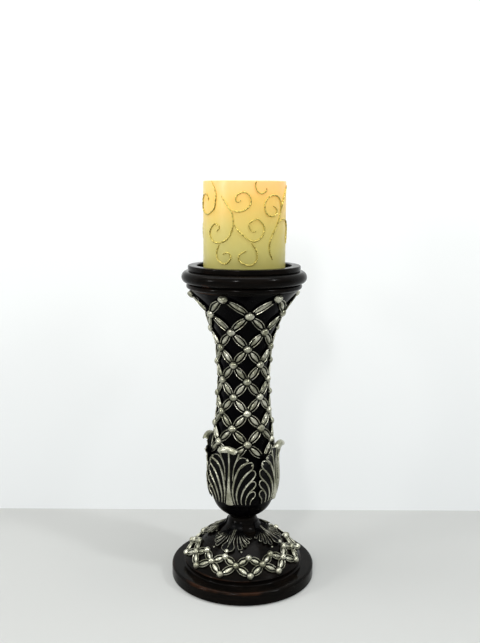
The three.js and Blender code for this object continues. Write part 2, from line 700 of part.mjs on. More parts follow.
// A fan over the dome's slope and up the neck's sweep. The wall is walked from the dome's foot
// upward, so a leaf's rows start at its round tip, just above the lattice.
function domeLeaf(index) {
  const wall = new Wall([...domeSection(12), ...neckSweep(6).slice(1)]);
  const lift = LEAF_CLEARANCE + DOME_LEAF_THICKNESS / 2;
  const raised = new Wall(wall.marks.map((mark) => wall.at(mark, lift)));
  const tip = DOME_NET_ROWS.at(-1) + BEAD_RADIUS + LEAF_SPACING;
  const root = raised.length - DOME_LEAF_START;
  const steps = 9;
  const rows = Array.from({ length: steps + 1 }, (_, i) => {
    const share = Math.max(i / steps, DOME_LEAF_TIP);
    const growing = (share / DOME_LEAF_WIDEST) ** DOME_LEAF_FULLNESS;
    const shrinking = (share - DOME_LEAF_WIDEST) / (1 - DOME_LEAF_WIDEST);
    const half = share < DOME_LEAF_WIDEST ? DOME_LEAF_SPREAD * growing
      : DOME_LEAF_SPREAD + (DOME_LEAF_ROOT - DOME_LEAF_SPREAD) * shrinking;
    return { length: tip + ((root - tip) * i) / steps, half: radians(half) };
  });
  return leaf({ wall: raised, rows, columns: 8, thickness: DOME_LEAF_THICKNESS, rib: DOME_LEAF_RIB,
    centre: radians(LEAF_ANGLE + (360 / LEAF_COUNT) * index) });
}

// ---------------------------------------------------------------- candle
// The outer sleeve of wax, open at both ends.
function candleWax() {
  const bore = UNIT_RADIUS + GAP;
  return turned([
    [bore, wellFloor], [WELL_RADIUS, wellFloor], [WELL_RADIUS, waxTop],
    [CANDLE_RADIUS - CANDLE_EDGE, waxTop], [CANDLE_RADIUS, waxTop - CANDLE_EDGE],
    [CANDLE_RADIUS, seatLevel + CANDLE_EDGE], [CANDLE_RADIUS - CANDLE_EDGE, seatLevel],
    [bore, seatLevel],
  ]);
}

// The core poured into the sleeve: the glow well's floor, hollow underneath for the power unit.
function candleCore() {
  const bottom = flangeTop + UNIT_ROOM;
  const hollowRadius = tubeRadius + GAP;
  const hollowTop = boardTop + GAP;
  return turned([
    [stemHole, wellFloor], [UNIT_RADIUS, wellFloor], [UNIT_RADIUS, bottom], [hollowRadius, bottom],
    [hollowRadius, hollowTop], [stemHole, hollowTop],
  ]);
}

// Routes of the gilt cords on the wax: azimuth in degrees, height in percent of the candle's.
const SCROLL_ROUTES = [
  [[-50, 97.9], [-42, 87.7], [-44, 74.2], [-58, 66.4], [-76, 72.0], [-77, 83.2], [-64, 86.6],
    [-59, 78.7]],
  [[-33, 85.5], [-22, 73.1], [-16, 59.6], [-19, 47.2], [-35, 38.8], [-51, 42.7], [-52, 52.9],
    [-42, 57.4], [-36, 50.6]],
  [[-18, 71.4], [-7, 69.7], [6, 75.4], [5, 86.6], [-5, 88.9], [-12, 83.2], [-6, 78.7]],
  [[-37, 34.9], [-40, 25.9], [-31, 18.0], [-21, 20.2], [-19, 28.1], [-29, 29.2]],
  [[-12, 55.7], [-5, 48.4], [9, 41.1], [22, 43.9], [27, 54.0], [18, 61.9], [7, 58.5], [10, 50.6]],
  [[10, 37.1], [17, 27.0], [13, 18.0], [0, 16.9], [-7, 22.5], [-2, 29.8], [5, 28.1]],
  [[15, 97.9], [14, 91.1], [22, 86.6], [30, 90.0], [28, 94.5]],
  [[55, 70.9], [55, 79.9], [45, 85.5], [32, 83.2], [27, 74.2], [34, 66.4], [44, 67.5], [43, 75.4]],
  [[80, 95.6], [69, 86.6], [59, 73.1], [51, 59.6], [38, 45.0], [35, 34.9], [40, 22.5]],
  [[54, 57.9], [65, 61.9], [79, 57.4], [82, 46.1], [77, 34.9]],
];

// A cord pressed on the wax, as a low ridge along its route.
function scroll(route, turn) {
  const curve = new THREE.CatmullRomCurve3(route.map(([azimuth, percent]) => new THREE.Vector3(
    radians(azimuth + turn) * CANDLE_RADIUS, (CANDLE_HEIGHT * percent) / 100, 0)));
  const steps = 2 * (route.length - 1);
  const points = [];
  const faces = [];
  const section = [[-0.5, 0], [-0.3, 1], [0.3, 1], [0.5, 0]]; // shares of the width and height
  const quad = (a, b, c, d) => faces.push([a, b, c], [a, c, d]);
  for (let i = 0; i <= steps; i += 1) {
    const place = curve.getPoint(i / steps);
    const tangent = curve.getTangent(i / steps);
    section.forEach(([side, top]) => {
      const along = place.x - tangent.y * side * CORD_WIDTH;
      const height = seatLevel + place.y + tangent.x * side * CORD_WIDTH;
      points.push(around([CANDLE_RADIUS + GAP + top * CORD_HEIGHT, height], along / CANDLE_RADIUS));
    });
    if (i > 0) {
      const [low, high] = [4 * (i - 1), 4 * i];
      for (let k = 0; k < 4; k += 1) {
        quad(low + k, low + ((k + 1) % 4), high + ((k + 1) % 4), high + k);
      }
    }
  }
  quad(3, 2, 1, 0);
  quad(4 * steps, 4 * steps + 1, 4 * steps + 2, 4 * steps + 3);
  return fromTriangles(points, faces);
}

// ---------------------------------------------------------------- power unit
const tabBottom = coverTop - GAP - TAB_THICKNESS;
const slotLength = SLIDER_SIZE[0] + SLIDER_TRAVEL + 2 * GAP;
const slotWidth = SLIDER_SIZE[1] + 2 * GAP;
// The slider rests at one end of its slot, which is centred under the switch case.
const sliderX = -SLIDER_TRAVEL / 2;

// A ring sector in plan, from one radius to another.
function sector(inner, outer, centreDegrees, halfDegrees) {
  const [from, to] = [radians(centreDegrees - halfDegrees), radians(centreDegrees + halfDegrees)];
  const shape = new THREE.Shape();
  shape.absarc(0, 0, outer, from, to, false);
  shape.absarc(0, 0, inner, to, from, true);
  return shape;
}

function batteryHousing() {
  const grooveRadius = coverRadius + TAB_REACH + GAP;
  const grooveBottom = tabBottom - GAP;
  const body = turned([
    [coverBore, unitBottom], [coverBore, grooveBottom], [grooveRadius, grooveBottom],
    [grooveRadius, boreFloor], [batteryBore, boreFloor], [batteryBore, roofBottom],
    [WIRE_HOLE, roofBottom], [WIRE_HOLE, roofTop], [tubeRadius, roofTop], [tubeRadius, flangeTop],
    [UNIT_RADIUS, flangeTop], [UNIT_RADIUS, unitBottom],
  ], SMALL_SEGMENTS * 2);
  const notchBottom = unitBottom - OVERCUT;
  const notchTop = grooveBottom + OVERCUT;
  const notches = TAB_PLACES.map((angle) => prism(
    sector(coverRadius - TAB_ROOT, grooveRadius, angle + TAB_TURN, TAB_HALF_ANGLE + TAB_PLAY),
    notchBottom, notchTop - notchBottom, 3));
  const slot = block([slotLength, slotWidth, UNIT_FLANGE + 2 * OVERCUT],
    [0, SWITCH_PLACE, unitBottom + UNIT_FLANGE / 2]);
  return cut(body, ...notches, slot);
}

function batteryCover() {
  const bottom = unitBottom + GAP;
  const disc = turned([[0, bottom], [coverRadius, bottom], [coverRadius, coverTop], [0, coverTop]],
    SMALL_SEGMENTS * 2);
  const tabs = TAB_PLACES.map((angle) => prism(
    sector(coverRadius - TAB_ROOT, coverRadius + TAB_REACH, angle, TAB_HALF_ANGLE),
    tabBottom, TAB_THICKNESS, 3));
  return cut(join(disc, ...tabs), block(COIN_SLOT, [0, 0, bottom]));
}

function contactDisc(bottom, hole) {
  const radius = batteryBore - GAP;
  const top = bottom + CONTACT_THICKNESS;
  return turned([[hole, bottom], [radius, bottom], [radius, top], [hole, top]], SMALL_SEGMENTS);
}

function battery(index) {
  const angle = (2 * Math.PI * index) / BATTERY_COUNT;
  const shoulder = batteryBottom + BATTERY_LENGTH - CAP_HEIGHT;
  return turned([
    [0, batteryBottom], [BATTERY_RADIUS, batteryBottom], [BATTERY_RADIUS, shoulder],
    [CAP_RADIUS, shoulder], [CAP_RADIUS, capTop], [0, capTop],
  ], SMALL_SEGMENTS - 4).translate(batteryRing * Math.cos(angle), batteryRing * Math.sin(angle), 0);
}

function circuitBoard() {
  return turned([[0, roofTop], [BOARD_RADIUS, roofTop], [BOARD_RADIUS, boardTop], [0, boardTop]],
    SMALL_SEGMENTS);
}

function lampStem() {
  return turned([[0, boardTop], [STEM_RADIUS, boardTop], [STEM_RADIUS, lampBottom], [0, lampBottom]],
    SMALL_SEGMENTS - 4);
}

function ledLamp() {
  const dome = arc(0, lampTip - LAMP_RADIUS, LAMP_RADIUS, 0, 90, 3).slice(0, -1);
  return turned([
    [0, lampBottom], [STEM_RADIUS, lampBottom], [STEM_RADIUS, lampBottom + 1],
    [LAMP_RADIUS, lampBottom + 1], ...dome, [0, lampTip],
  ], SMALL_SEGMENTS - 4);
}

function switchCase() {
  return block(SWITCH_CASE, [0, SWITCH_PLACE, flangeTop + SWITCH_CASE[2] / 2]);
}

function switchSlider() {
  const bottom = unitBottom + GAP;
  const height = flangeTop - GAP - bottom;
  return block([...SLIDER_SIZE, height], [sliderX, SWITCH_PLACE, bottom + height / 2]);
}

// ---------------------------------------------------------------- assembly
const stand = new THREE.Group();

function place(name, geometry, look) {
  const mesh = new THREE.Mesh(geometry, new THREE.MeshStandardMaterial(look));
  mesh.name = name;
  stand.add(mesh);
}

place('felt_pad', feltPad(), FELT);
place('base_plinth', basePlinth(), DARK_STAIN);
place('base_step', baseStep(), DARK_STAIN);
place('base_dome', baseDome(), DARK_STAIN);
place('neck_spool', neckSpool(), DARK_STAIN);
place('bulb_body', bulbBody(), BLACK_GLOSS);
place('column_core', columnCore(), BLACK_GLOSS);
place('cup_collar', cupCollar(), DARK_STAIN);
place('candle_cup', candleCup(), DARK_STAIN);

const lowerPocketTop = plinthBottom + pocketDepth;
const upperPocketFloor = seatLevel - pocketDepth;
place('tie_rod', tieRod(), STEEL);
place('lower_washer', washer(lowerPocketTop - WASHER_THICKNESS), STEEL);
place('lower_nut', hexNut(lowerPocketTop - WASHER_THICKNESS - NUT_HEIGHT), STEEL);
place('upper_washer', washer(upperPocketFloor), STEEL);
place('upper_nut', hexNut(upperPocketFloor + WASHER_THICKNESS), STEEL);

place('column_lattice', columnLattice(), ANTIQUE_SILVER);
place('base_lattice', baseLattice(), ANTIQUE_SILVER);
for (let i = 0; i < LEAF_COUNT; i += 1) {
  place(`bulb_leaf_${i + 1}`, bulbLeaf(i), ANTIQUE_SILVER);
  place(`dome_leaf_${i + 1}`, domeLeaf(i), ANTIQUE_SILVER);
}

place('candle_wax', candleWax(), WAX);
place('candle_core', candleCore(), WAX);
SCROLL_ROUTES.forEach((route, i) => {
  place(`scroll_front_${i + 1}`, scroll(route, 0), GOLD);
  place(`scroll_back_${i + 1}`, scroll(route, 180), GOLD);
});
place('battery_housing', batteryHousing(), IVORY_PLASTIC);
place('battery_cover', batteryCover(), IVORY_PLASTIC);
place('cover_contact', contactDisc(coverTop, 0), STEEL);
place('roof_contact', contactDisc(roofBottom - CONTACT_THICKNESS, WIRE_HOLE), STEEL);
for (let i = 0; i < BATTERY_COUNT; i += 1) place(`battery_${i + 1}`, battery(i), CELL_SLEEVE);
place('circuit_board', circuitBoard(), BOARD_GREEN);
place('lamp_stem', lampStem(), IVORY_PLASTIC);
place('led_lamp', ledLamp(), LAMP_AMBER);
place('switch_case', switchCase(), IVORY_PLASTIC);
place('switch_slider', switchSlider(), FELT);

export default stand;
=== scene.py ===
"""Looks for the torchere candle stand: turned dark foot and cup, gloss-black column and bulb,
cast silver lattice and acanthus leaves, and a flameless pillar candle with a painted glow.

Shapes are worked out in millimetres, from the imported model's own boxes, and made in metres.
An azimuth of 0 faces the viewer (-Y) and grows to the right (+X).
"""

import json
import math

import bpy
import numpy as np
from mathutils import Matrix, Vector


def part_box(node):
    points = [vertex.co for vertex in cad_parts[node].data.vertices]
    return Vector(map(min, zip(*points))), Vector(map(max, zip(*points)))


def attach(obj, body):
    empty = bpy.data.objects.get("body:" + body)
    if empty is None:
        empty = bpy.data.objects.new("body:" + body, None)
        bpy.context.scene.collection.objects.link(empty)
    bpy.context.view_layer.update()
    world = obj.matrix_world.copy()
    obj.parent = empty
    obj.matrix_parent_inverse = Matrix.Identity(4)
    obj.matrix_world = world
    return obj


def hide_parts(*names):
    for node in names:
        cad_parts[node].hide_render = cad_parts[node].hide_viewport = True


MM = 0.001
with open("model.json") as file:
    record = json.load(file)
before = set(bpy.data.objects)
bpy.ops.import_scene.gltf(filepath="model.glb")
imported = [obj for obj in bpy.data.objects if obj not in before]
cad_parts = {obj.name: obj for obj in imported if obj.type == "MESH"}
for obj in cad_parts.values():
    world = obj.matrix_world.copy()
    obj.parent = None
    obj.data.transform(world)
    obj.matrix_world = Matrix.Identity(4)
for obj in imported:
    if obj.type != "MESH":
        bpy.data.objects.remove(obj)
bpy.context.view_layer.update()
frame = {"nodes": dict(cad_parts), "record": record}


def box(node):
    """Lowest and highest corner of a CAD node, in millimetres."""
    low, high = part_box(node)
    return low / MM, high / MM


def levels(node):
    low, high = box(node)
    return low.z, high.z


# -------- sizes, from the frame
ROD_HOLE = 3.3
PLINTH_R = box("base_plinth")[1].x
PLINTH_Z = levels("base_plinth")
PLINTH_EDGE = 2.4
PLINTH_CHAMFER = 0.5
STEP_Z = levels("base_step")
STEP_COVE = 1.1
STEP_R = box("base_step")[1].x - STEP_COVE
STEP_RIM = 0.9
DOME_Z = levels("base_dome")
DOME_R = (box("base_dome")[1].x, 19.0)
DOME_CROWN = 1.3
NECK_Z = levels("neck_spool")
NECK_R = 14.6
NECK_SWEEP = 7.5
NECK_WAIST = 1.2
BULB_Z = levels("bulb_body")
BOWL_HEIGHT = 14.5
BOWL_R = 28.6
BOWL_SHOULDER = (25.6, 4.83)
BELLY_R = 33.1
BELLY_LEVEL = BULB_Z[0] + 36.5
COLUMN_Z = levels("column_core")
COLUMN_FOOT_R = 29.4
COLUMN_WAIST_R = 22.8
COLUMN_WAIST_Z = COLUMN_Z[0] + 66
COLUMN_TOP_R = box("column_core")[1].x
COLLAR_Z = levels("cup_collar")
COLLAR_R = box("cup_collar")[1].x
COLLAR_FILLET = 1.4
COLLAR_BORE = 20.3
SPIGOT_R = 20.0
CUP_Z = levels("candle_cup")
CUP_REACH = box("candle_cup")[1].x
TORUS_R = 5.7
LIP_R = 52.6
RECESS_R = 44.25
LIP_ROUND = 1.1
LIP_GROOVE = 0.6
NUT_POCKET_R = 8.0
NUT_POCKET_DEPTH = 7.6
WAX_Z = levels("candle_wax")
SEAT_Z = WAX_Z[0]
WAX_R = box("candle_wax")[1].x
WELL_R = 31.5
WELL_DEPTH = 18.0
WELL_ROUND = 3.0
WAX_EDGE = 0.9
STEM_HOLE = 3.3
UNIT_HOLLOW = (30.3, levels("candle_core")[0])
TUBE_HOLLOW = (15.8, 345.2)
LEAF_COUNT = 4
LEAF_ANGLE = -23.0
TURNED_CREASE = 32
CAST_CREASE = 60


# -------- plane curves
def arc(centre, size, start, end, steps=10):
    turn = np.radians(np.linspace(start, end, steps + 1))
    return np.stack([centre[0] + size * np.cos(turn), centre[1] + size * np.sin(turn)], 1)


def quadratic(start, control, end, steps=10):
    t = np.linspace(0, 1, steps + 1)[:, None]
    start, control, end = (np.array(p, float) for p in (start, control, end))
    return (1 - t) ** 2 * start + 2 * t * (1 - t) * control + t**2 * end


def through(points, spacing=0.5):
    """A smooth curve through the points (Catmull-Rom), at an even spacing."""
    p = np.array(points, float)
    p = np.vstack([2 * p[0] - p[1], p, 2 * p[-1] - p[-2]])
    t = np.linspace(0, 1, 12, endpoint=False)[:, None]
    runs = []
    for a, b, c, d in zip(p[:-3], p[1:-2], p[2:-1], p[3:]):
        bend = 2 * a - 5 * b + 4 * c - d + t * (3 * (b - c) + d - a)
        runs.append(b + 0.5 * t * (c - a + t * bend))
    curve = np.vstack(runs + [p[-2:-1]])
    steps = np.hypot(*np.diff(curve[:, :2], axis=0).T)
    marks = np.concatenate([[0], np.cumsum(steps)])
    even = np.linspace(0, marks[-1], max(3, int(marks[-1] / spacing) + 1))
    return np.stack([np.interp(even, marks, column) for column in curve.T], 1)


# -------- meshes
def add_object(name, data):
    made = bpy.data.objects.new(name, data)
    bpy.context.scene.collection.objects.link(made)
    return made


def piece(name, vertices, faces, body, slot, node, relief, crease):
    """One mesh of the object, given in millimetres, in its slot's look. node is the CAD node
    or nodes that it stands for, and relief a number at each vertex, which looks read."""
    mesh = bpy.data.meshes.new(name)
    mesh.from_pydata((np.asarray(vertices, float) * MM).tolist(), [], faces)
    mesh.validate()
    attribute = mesh.attributes.new("relief", "FLOAT", "POINT")
    attribute.data.foreach_set("value", np.asarray(relief, np.float32))
    mesh.polygons.foreach_set("use_smooth", np.ones(len(mesh.polygons), bool))
    mesh.set_sharp_from_angle(angle=math.radians(crease))
    mesh.materials.append(LOOKS[slot])
    made = add_object(name, mesh)
    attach(made, body)
    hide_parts(*([node] if isinstance(node, str) else node))


def loops(rows, sides, closed_rows):
    """Quads that join rings of vertices; closed_rows joins the last ring to the first."""
    faces = []
    for i in range(rows if closed_rows else rows - 1):
        low, high = i * sides, ((i + 1) % rows) * sides
        for k in range(sides):
            after = (k + 1) % sides
            faces.append((low + k, low + after, high + after, high + k))
    return faces


def turned(name, section, body, slot, node, segments=128, wear=1.0):
    """A section of radius and height that closes on itself, turned about Z.
    Its relief attribute is high on the tight outward rounds, where a finish rubs through, by
    the share wear."""
    section = np.asarray(section, float)
    keep = np.hypot(*(section - np.roll(section, 1, 0)).T) > 1e-6
    section = section[keep]
    before = section - np.roll(section, 1, 0)
    after = np.roll(section, -1, 0) - section
    cross = before[:, 0] * after[:, 1] - before[:, 1] * after[:, 0]
    turn = np.arctan2(cross, (before * after).sum(1))
    bend = turn / (0.5 * (np.hypot(*before.T) + np.hypot(*after.T)))
    rub = wear * np.clip((bend - 0.22) / 0.4, 0, 1)
    azimuth = np.linspace(0, 2 * np.pi, segments, endpoint=False)
    r, z = section[:, :1], section[:, 1:]
    vertices = np.stack([r * np.sin(azimuth), -r * np.cos(azimuth), z + 0 * azimuth], -1)
    faces = loops(len(section), segments, True)
    relief = np.repeat(rub, segments)
    piece(name, vertices.reshape(-1, 3), faces, body, slot, node, relief, TURNED_CREASE)


def bored(name, outside, slot, node, segments=128, wear=1.0, bore=ROD_HOLE):
    """A turned piece of the stand, over its node's height, with a hole down its axis."""
    low, high = levels(node)
    section = np.vstack([[(bore, low)], *outside, [(bore, high)]])
    turned(name, section, "stand", slot, node, segments, wear)


class Wall:
    """A wall in section, from its foot up, on which castings lie."""

    def __init__(self, points):
        self.points = np.asarray(points, float)
        steps = np.hypot(*np.diff(self.points, axis=0).T)
        self.marks = np.concatenate([[0], np.cumsum(steps)])
        tangent = np.gradient(self.points, self.marks, axis=0)
        tangent /= np.hypot(*tangent.T)[:, None]
        self.normals = np.stack([tangent[:, 1], -tangent[:, 0]], 1)
        self.length = self.marks[-1]

    def radius(self, length):
        return np.interp(length, self.marks, self.points[:, 0])

    def length_at(self, height):
        rising = np.maximum.accumulate(self.points[:, 1])
        return np.interp(height, rising, self.marks)

    def place(self, azimuth, length, lift):
        radius, height = (np.interp(length, self.marks, column) for column in self.points.T)
        out, up = (np.interp(length, self.marks, column) for column in self.normals.T)
        radius = radius + lift * out
        height = height + lift * up
        return np.stack([radius * np.sin(azimuth), -radius * np.cos(azimuth), height], -1)


class Casting:
    """Collects the closed shells that make up one cast piece."""

    def __init__(self):
        self.vertices = []
        self.faces = []
        self.relief = []
        self.count = 0

    def add(self, vertices, faces, relief):
        start = self.count
        self.faces += [tuple(start + i for i in face) for face in faces]
        self.vertices.append(vertices)
        self.relief.append(relief)
        self.count += len(vertices)

    def ridge(self, wall, azimuth, length, half, height, base, shade=(0.0, 1.0), sides=10):
        """A closed cord on the wall along azimuth and length. half is its half width, height
        its half height and base the lift of its middle; each may be a number or an array."""
        rows = len(azimuth)
        half, height, base = (np.broadcast_to(v, rows).astype(float) for v in (half, height, base))
        radius = wall.radius(length)
        run, rise = np.gradient(azimuth) * radius, np.gradient(length)
        size = np.hypot(run, rise) + 1e-9
        turn = np.linspace(0, 2 * np.pi, sides, endpoint=False)
        side, top = np.cos(turn), np.sin(turn)
        across = azimuth[:, None] - (rise / size * half / radius)[:, None] * side
        along = length[:, None] + (run / size * half)[:, None] * side
        lift = base[:, None] + height[:, None] * top
        ends = [(azimuth[i], length[i], base[i]) for i in (0, -1)]
        body = wall.place(across, along, lift).reshape(-1, 3)
        caps = np.array([wall.place(*end) for end in ends])
        faces = loops(rows, sides, False)
        first, last = rows * sides, rows * sides + 1
        final = (rows - 1) * sides
        faces += [((k + 1) % sides, k, first) for k in range(sides)]
        faces += [(final + k, final + (k + 1) % sides, last) for k in range(sides)]
        crest = np.repeat(np.broadcast_to(shade[1], rows), sides)
        tone = shade[0] + (crest - shade[0]) * np.clip(0.5 + 0.65 * np.tile(top, rows), 0, 1)
        self.add(np.vstack([body, caps]), faces, np.concatenate([tone, [shade[0]] * 2]))

    def bead(self, wall, azimuth, length, size, base, square=0.0):
        """A knob on the wall: a round form, drawn towards a square by square."""
        rings, sides = 9, 16
        polar = np.linspace(0, np.pi, rings + 2)[1:-1, None]
        turn = np.linspace(0, 2 * np.pi, sides, endpoint=False)[None]
        corner = 1 + square * np.cos(4 * turn)
        x = size[0] * np.sin(polar) * np.cos(turn) * corner
        y = size[0] * np.sin(polar) * np.sin(turn) * corner
        lift = base + size[1] * np.cos(polar) + 0 * turn
        radius = wall.radius(length)
        body = wall.place(azimuth + x / radius, length + y, lift).reshape(-1, 3)
        poles = np.array([wall.place(azimuth, length, base + end * size[1]) for end in (1, -1)])
        faces = [tuple(reversed(f)) for f in loops(rings, sides, False)]
        top, low, last = rings * sides, rings * sides + 1, (rings - 1) * sides
        faces += [(k, (k + 1) % sides, top) for k in range(sides)]
        faces += [(last + (k + 1) % sides, last + k, low) for k in range(sides)]
        tone = np.clip(0.7 + 0.9 * np.cos(polar) + 0 * turn, 0, 1).ravel()
        self.add(np.vstack([body, poles]), faces, np.concatenate([tone, [1.0, 0.0]]))

    def sheet(self, across, along, field, place, lift, thickness, face, back):
        """The part of a grid where field is above 0, edged along field = 0, as a thin shell.
        face and back give the relief shade of its two sides."""
        cut = CutGrid(across, along, field)
        spots = np.array(cut.spots)
        x, y = spots.T
        raised = lift(x, y)
        outer, inner = place(x, y, raised), place(x, y, raised - thickness)
        count = len(spots)
        faces = [tuple(ring) for ring in cut.faces]
        faces += [tuple(count + i for i in reversed(ring)) for ring in cut.faces]
        faces += [(b, a, count + a, count + b) for a, b in cut.rim()]
        self.add(np.vstack([outer, inner]), faces, np.concatenate([face(x, y), back(x, y)]))

    def make(self, name, body, slot, node, turn=0.0):
        """One piece of the object from the shells, turned about Z by turn."""
        c, s = math.cos(turn), math.sin(turn)
        vertices = np.vstack(self.vertices) @ np.array([[c, s, 0], [-s, c, 0], [0, 0, 1]])
        relief = np.concatenate(self.relief)
        piece(name, vertices, self.faces, body, slot, node, relief, CAST_CREASE)


class CutGrid:
    """A grid trimmed to where a field is positive, with new corners where it crosses 0."""

    def __init__(self, across, along, field):
        self.across, self.along, self.field = across, along, field
        self.spots, self.known, self.faces = [], {}, []
        inside = field > 0
        some = inside[:-1, :-1] | inside[1:, :-1] | inside[:-1, 1:] | inside[1:, 1:]
        for i, j in zip(*np.nonzero(some)):
            ring = [(i, j), (i + 1, j), (i + 1, j + 1), (i, j + 1)]
            face = []
            for here, there in zip(ring, ring[1:] + ring[:1]):
                if inside[here]:
                    face.append(self.spot(here, here))
                if inside[here] != inside[there]:
                    face.append(self.spot(*sorted([here, there])))
            if len(face) > 2:
                self.faces.append(face)

    def spot(self, a, b):
        """The corner between grid points a and b, made once; b is a where the corner is a."""
        key = (a, b)
        if key not in self.known:
            fa, fb = self.field[a], self.field[b]
            share = 0.0 if a == b else min(max(fa / (fa - fb), 0.02), 0.98)
            x = self.across[a[0]] + (self.across[b[0]] - self.across[a[0]]) * share
            y = self.along[a[1]] + (self.along[b[1]] - self.along[a[1]]) * share
            self.known[key] = len(self.spots)
            self.spots.append((x, y))
        return self.known[key]

    def rim(self):
        """The edges that only one face has, each in its face's direction."""
        edges = set()
        for face in self.faces:
            for a, b in zip(face, face[1:] + face[:1]):
                if (b, a) in edges:
                    edges.remove((b, a))
                else:
                    edges.add((a, b))
        return sorted(edges)


def depth_inside(x, y, outline):
    """How far points lie inside a closed outline; below 0 outside it."""
    px, py = x.ravel()[:, None], y.ravel()[:, None]
    a = np.asarray(outline, float)
    b = np.roll(a, -1, 0)
    run, rise = (b - a).T
    along = (px - a[:, 0]) * run + (py - a[:, 1]) * rise
    t = np.clip(along / (run**2 + rise**2 + 1e-12), 0, 1)
    distance = np.hypot(px - a[:, 0] - t * run, py - a[:, 1] - t * rise).min(1)
    crosses = (a[:, 1] > py) != (b[:, 1] > py)
    level = a[:, 0] + run * (py - a[:, 1]) / np.where(rise == 0, 1e-12, rise)
    inside = (crosses & (px < level)).sum(1) % 2 == 1
    return np.where(inside, distance, -distance).reshape(x.shape)


# -------- materials
class Look:
    """A material built on one Principled shader."""

    def __init__(self, name, **settings):
        self.material = bpy.data.materials.new(name)
        self.material.use_nodes = True
        self.tree = self.material.node_tree
        self.shader = self.tree.nodes["Principled BSDF"]
        for socket, value in settings.items():
            self.shader.inputs[socket.replace("_", " ")].default_value = value
        self.object = self.node("ShaderNodeTexCoord").outputs["Object"]

    def node(self, kind, inputs=(), **settings):
        made = self.tree.nodes.new(kind)
        for key, value in settings.items():
            setattr(made, key, value)
        for key, value in dict(inputs).items():
            if isinstance(value, bpy.types.NodeSocket):
                self.tree.links.new(value, made.inputs[key])
            else:
                made.inputs[key].default_value = value
        return made

    def link(self, socket, target):
        self.tree.links.new(socket, self.shader.inputs[target])

    def noise(self, scale, detail=3.0, roughness=0.5, stretch=(1, 1, 1), spin=0.0):
        turn = (0, 0, math.radians(spin))
        inputs = {"Vector": self.object, "Scale": stretch, "Rotation": turn}
        place = self.node("ShaderNodeMapping", inputs)
        inputs = {"Vector": place.outputs[0], "Scale": scale, "Detail": detail,
                  "Roughness": roughness}
        return self.node("ShaderNodeTexNoise", inputs).outputs[0]

    def relief(self):
        return self.node("ShaderNodeAttribute", attribute_name="relief").outputs["Fac"]

    def math(self, operation, a, b=0.0, c=0.0):
        return self.node("ShaderNodeMath", {0: a, 1: b, 2: c}, operation=operation).outputs[0]

    def span(self, value, low, high, to_low=0.0, to_high=1.0):
        inputs = {0: value, 1: low, 2: high, 3: to_low, 4: to_high}
        return self.node("ShaderNodeMapRange", inputs, interpolation_type="SMOOTHSTEP").outputs[0]

    def mix(self, share, a, b):
        inputs = {0: share, 6: colour(a), 7: colour(b)}
        return self.node("ShaderNodeMix", inputs, data_type="RGBA").outputs[2]

    def paint(self, share, a, b):
        self.link(self.mix(share, a, b), "Base Color")

    def rough(self, value, low, high):
        self.link(self.span(value, 0.3, 0.7, low, high), "Roughness")

    def ramp(self, value, stops):
        ramp = self.node("ShaderNodeValToRGB", {0: value})
        band = ramp.color_ramp
        while len(band.elements) < len(stops):
            band.elements.new(0.5)
        for element, (position, shade) in zip(band.elements, stops):
            element.position = position
            element.color = colour(shade)
        return ramp.outputs[0]

    def bump(self, height, strength, distance):
        inputs = {"Height": height, "Strength": strength, "Distance": distance * MM}
        self.link(self.node("ShaderNodeBump", inputs).outputs[0], "Normal")


def colour(value):
    """A colour of 0 to 255 per channel, as the eye sees it, in the shader's linear numbers."""
    if isinstance(value, bpy.types.NodeSocket):
        return value
    channels = np.array(value[:3], float) / 255
    curved = ((channels + 0.055) / 1.055) ** 2.4
    return (*np.where(channels <= 0.04045, channels / 12.92, curved).tolist(), 1.0)


def dark_stain():
    """Near-black satin lacquer over turned wood, rubbed reddish brown on its edges."""
    look = Look("dark_stain", Roughness=0.24, Specular_IOR_Level=0.04)
    grain = look.noise(60, 4, 0.6, (1, 1, 9))
    patches = look.noise(26, 3, 0.55, spin=88)
    rub = look.math("MULTIPLY", look.relief(), look.span(patches, 0.54, 0.7))
    streak = look.span(look.noise(14, 4, 0.6, (1, 1, 4)), 0.66, 0.74, 0, 0.55)
    worn = look.math("MAXIMUM", rub, streak)
    lacquer = look.mix(look.span(grain, 0.35, 0.7), (9, 8, 7), (19, 15, 12))
    wood = look.mix(grain, (54, 32, 20), (98, 60, 36))
    look.paint(look.math("MULTIPLY", worn, 0.6), lacquer, wood)
    look.rough(look.noise(180, 3), 0.13, 0.22)
    look.bump(grain, 0.08, 0.15)
    return look.material


def black_gloss():
    """Gloss-black resin with the faint ripple of a sprayed finish."""
    look = Look("black_gloss", Roughness=0.1, Specular_IOR_Level=0.025)
    cloud = look.noise(120, 3)
    look.paint(cloud, (2, 2, 3), (6, 5, 7))
    look.link(look.span(cloud, 0.3, 0.75, 0.07, 0.16), "Roughness")
    look.bump(look.noise(260, 2), 0.08, 0.12)
    return look.material


def antique_silver():
    """Warm silver brushed over black: bright on what stands out, black in the grooves."""
    look = Look("antique_silver", Specular_IOR_Level=0.05)
    cloud = look.noise(330, 4, 0.6)
    height = look.math("ADD", look.relief(), look.math("MULTIPLY_ADD", cloud, 0.5, -0.25))
    bright = look.span(height, 0.34, 0.72)
    tint = look.noise(90, 3, 0.5)
    silver = look.mix(look.span(tint, 0.35, 0.68), (140, 140, 121), (206, 205, 188))
    spots = look.span(look.noise(620, 3), 0.45, 0.72, 0, 0.4)
    dull = look.mix(spots, silver, (104, 104, 80))
    look.paint(bright, (6, 6, 7), dull)
    look.link(look.math("MULTIPLY", bright, 0.8), "Metallic")
    look.rough(cloud, 0.24, 0.36)
    look.bump(look.noise(600, 2), 0.1, 0.1)
    return look.material


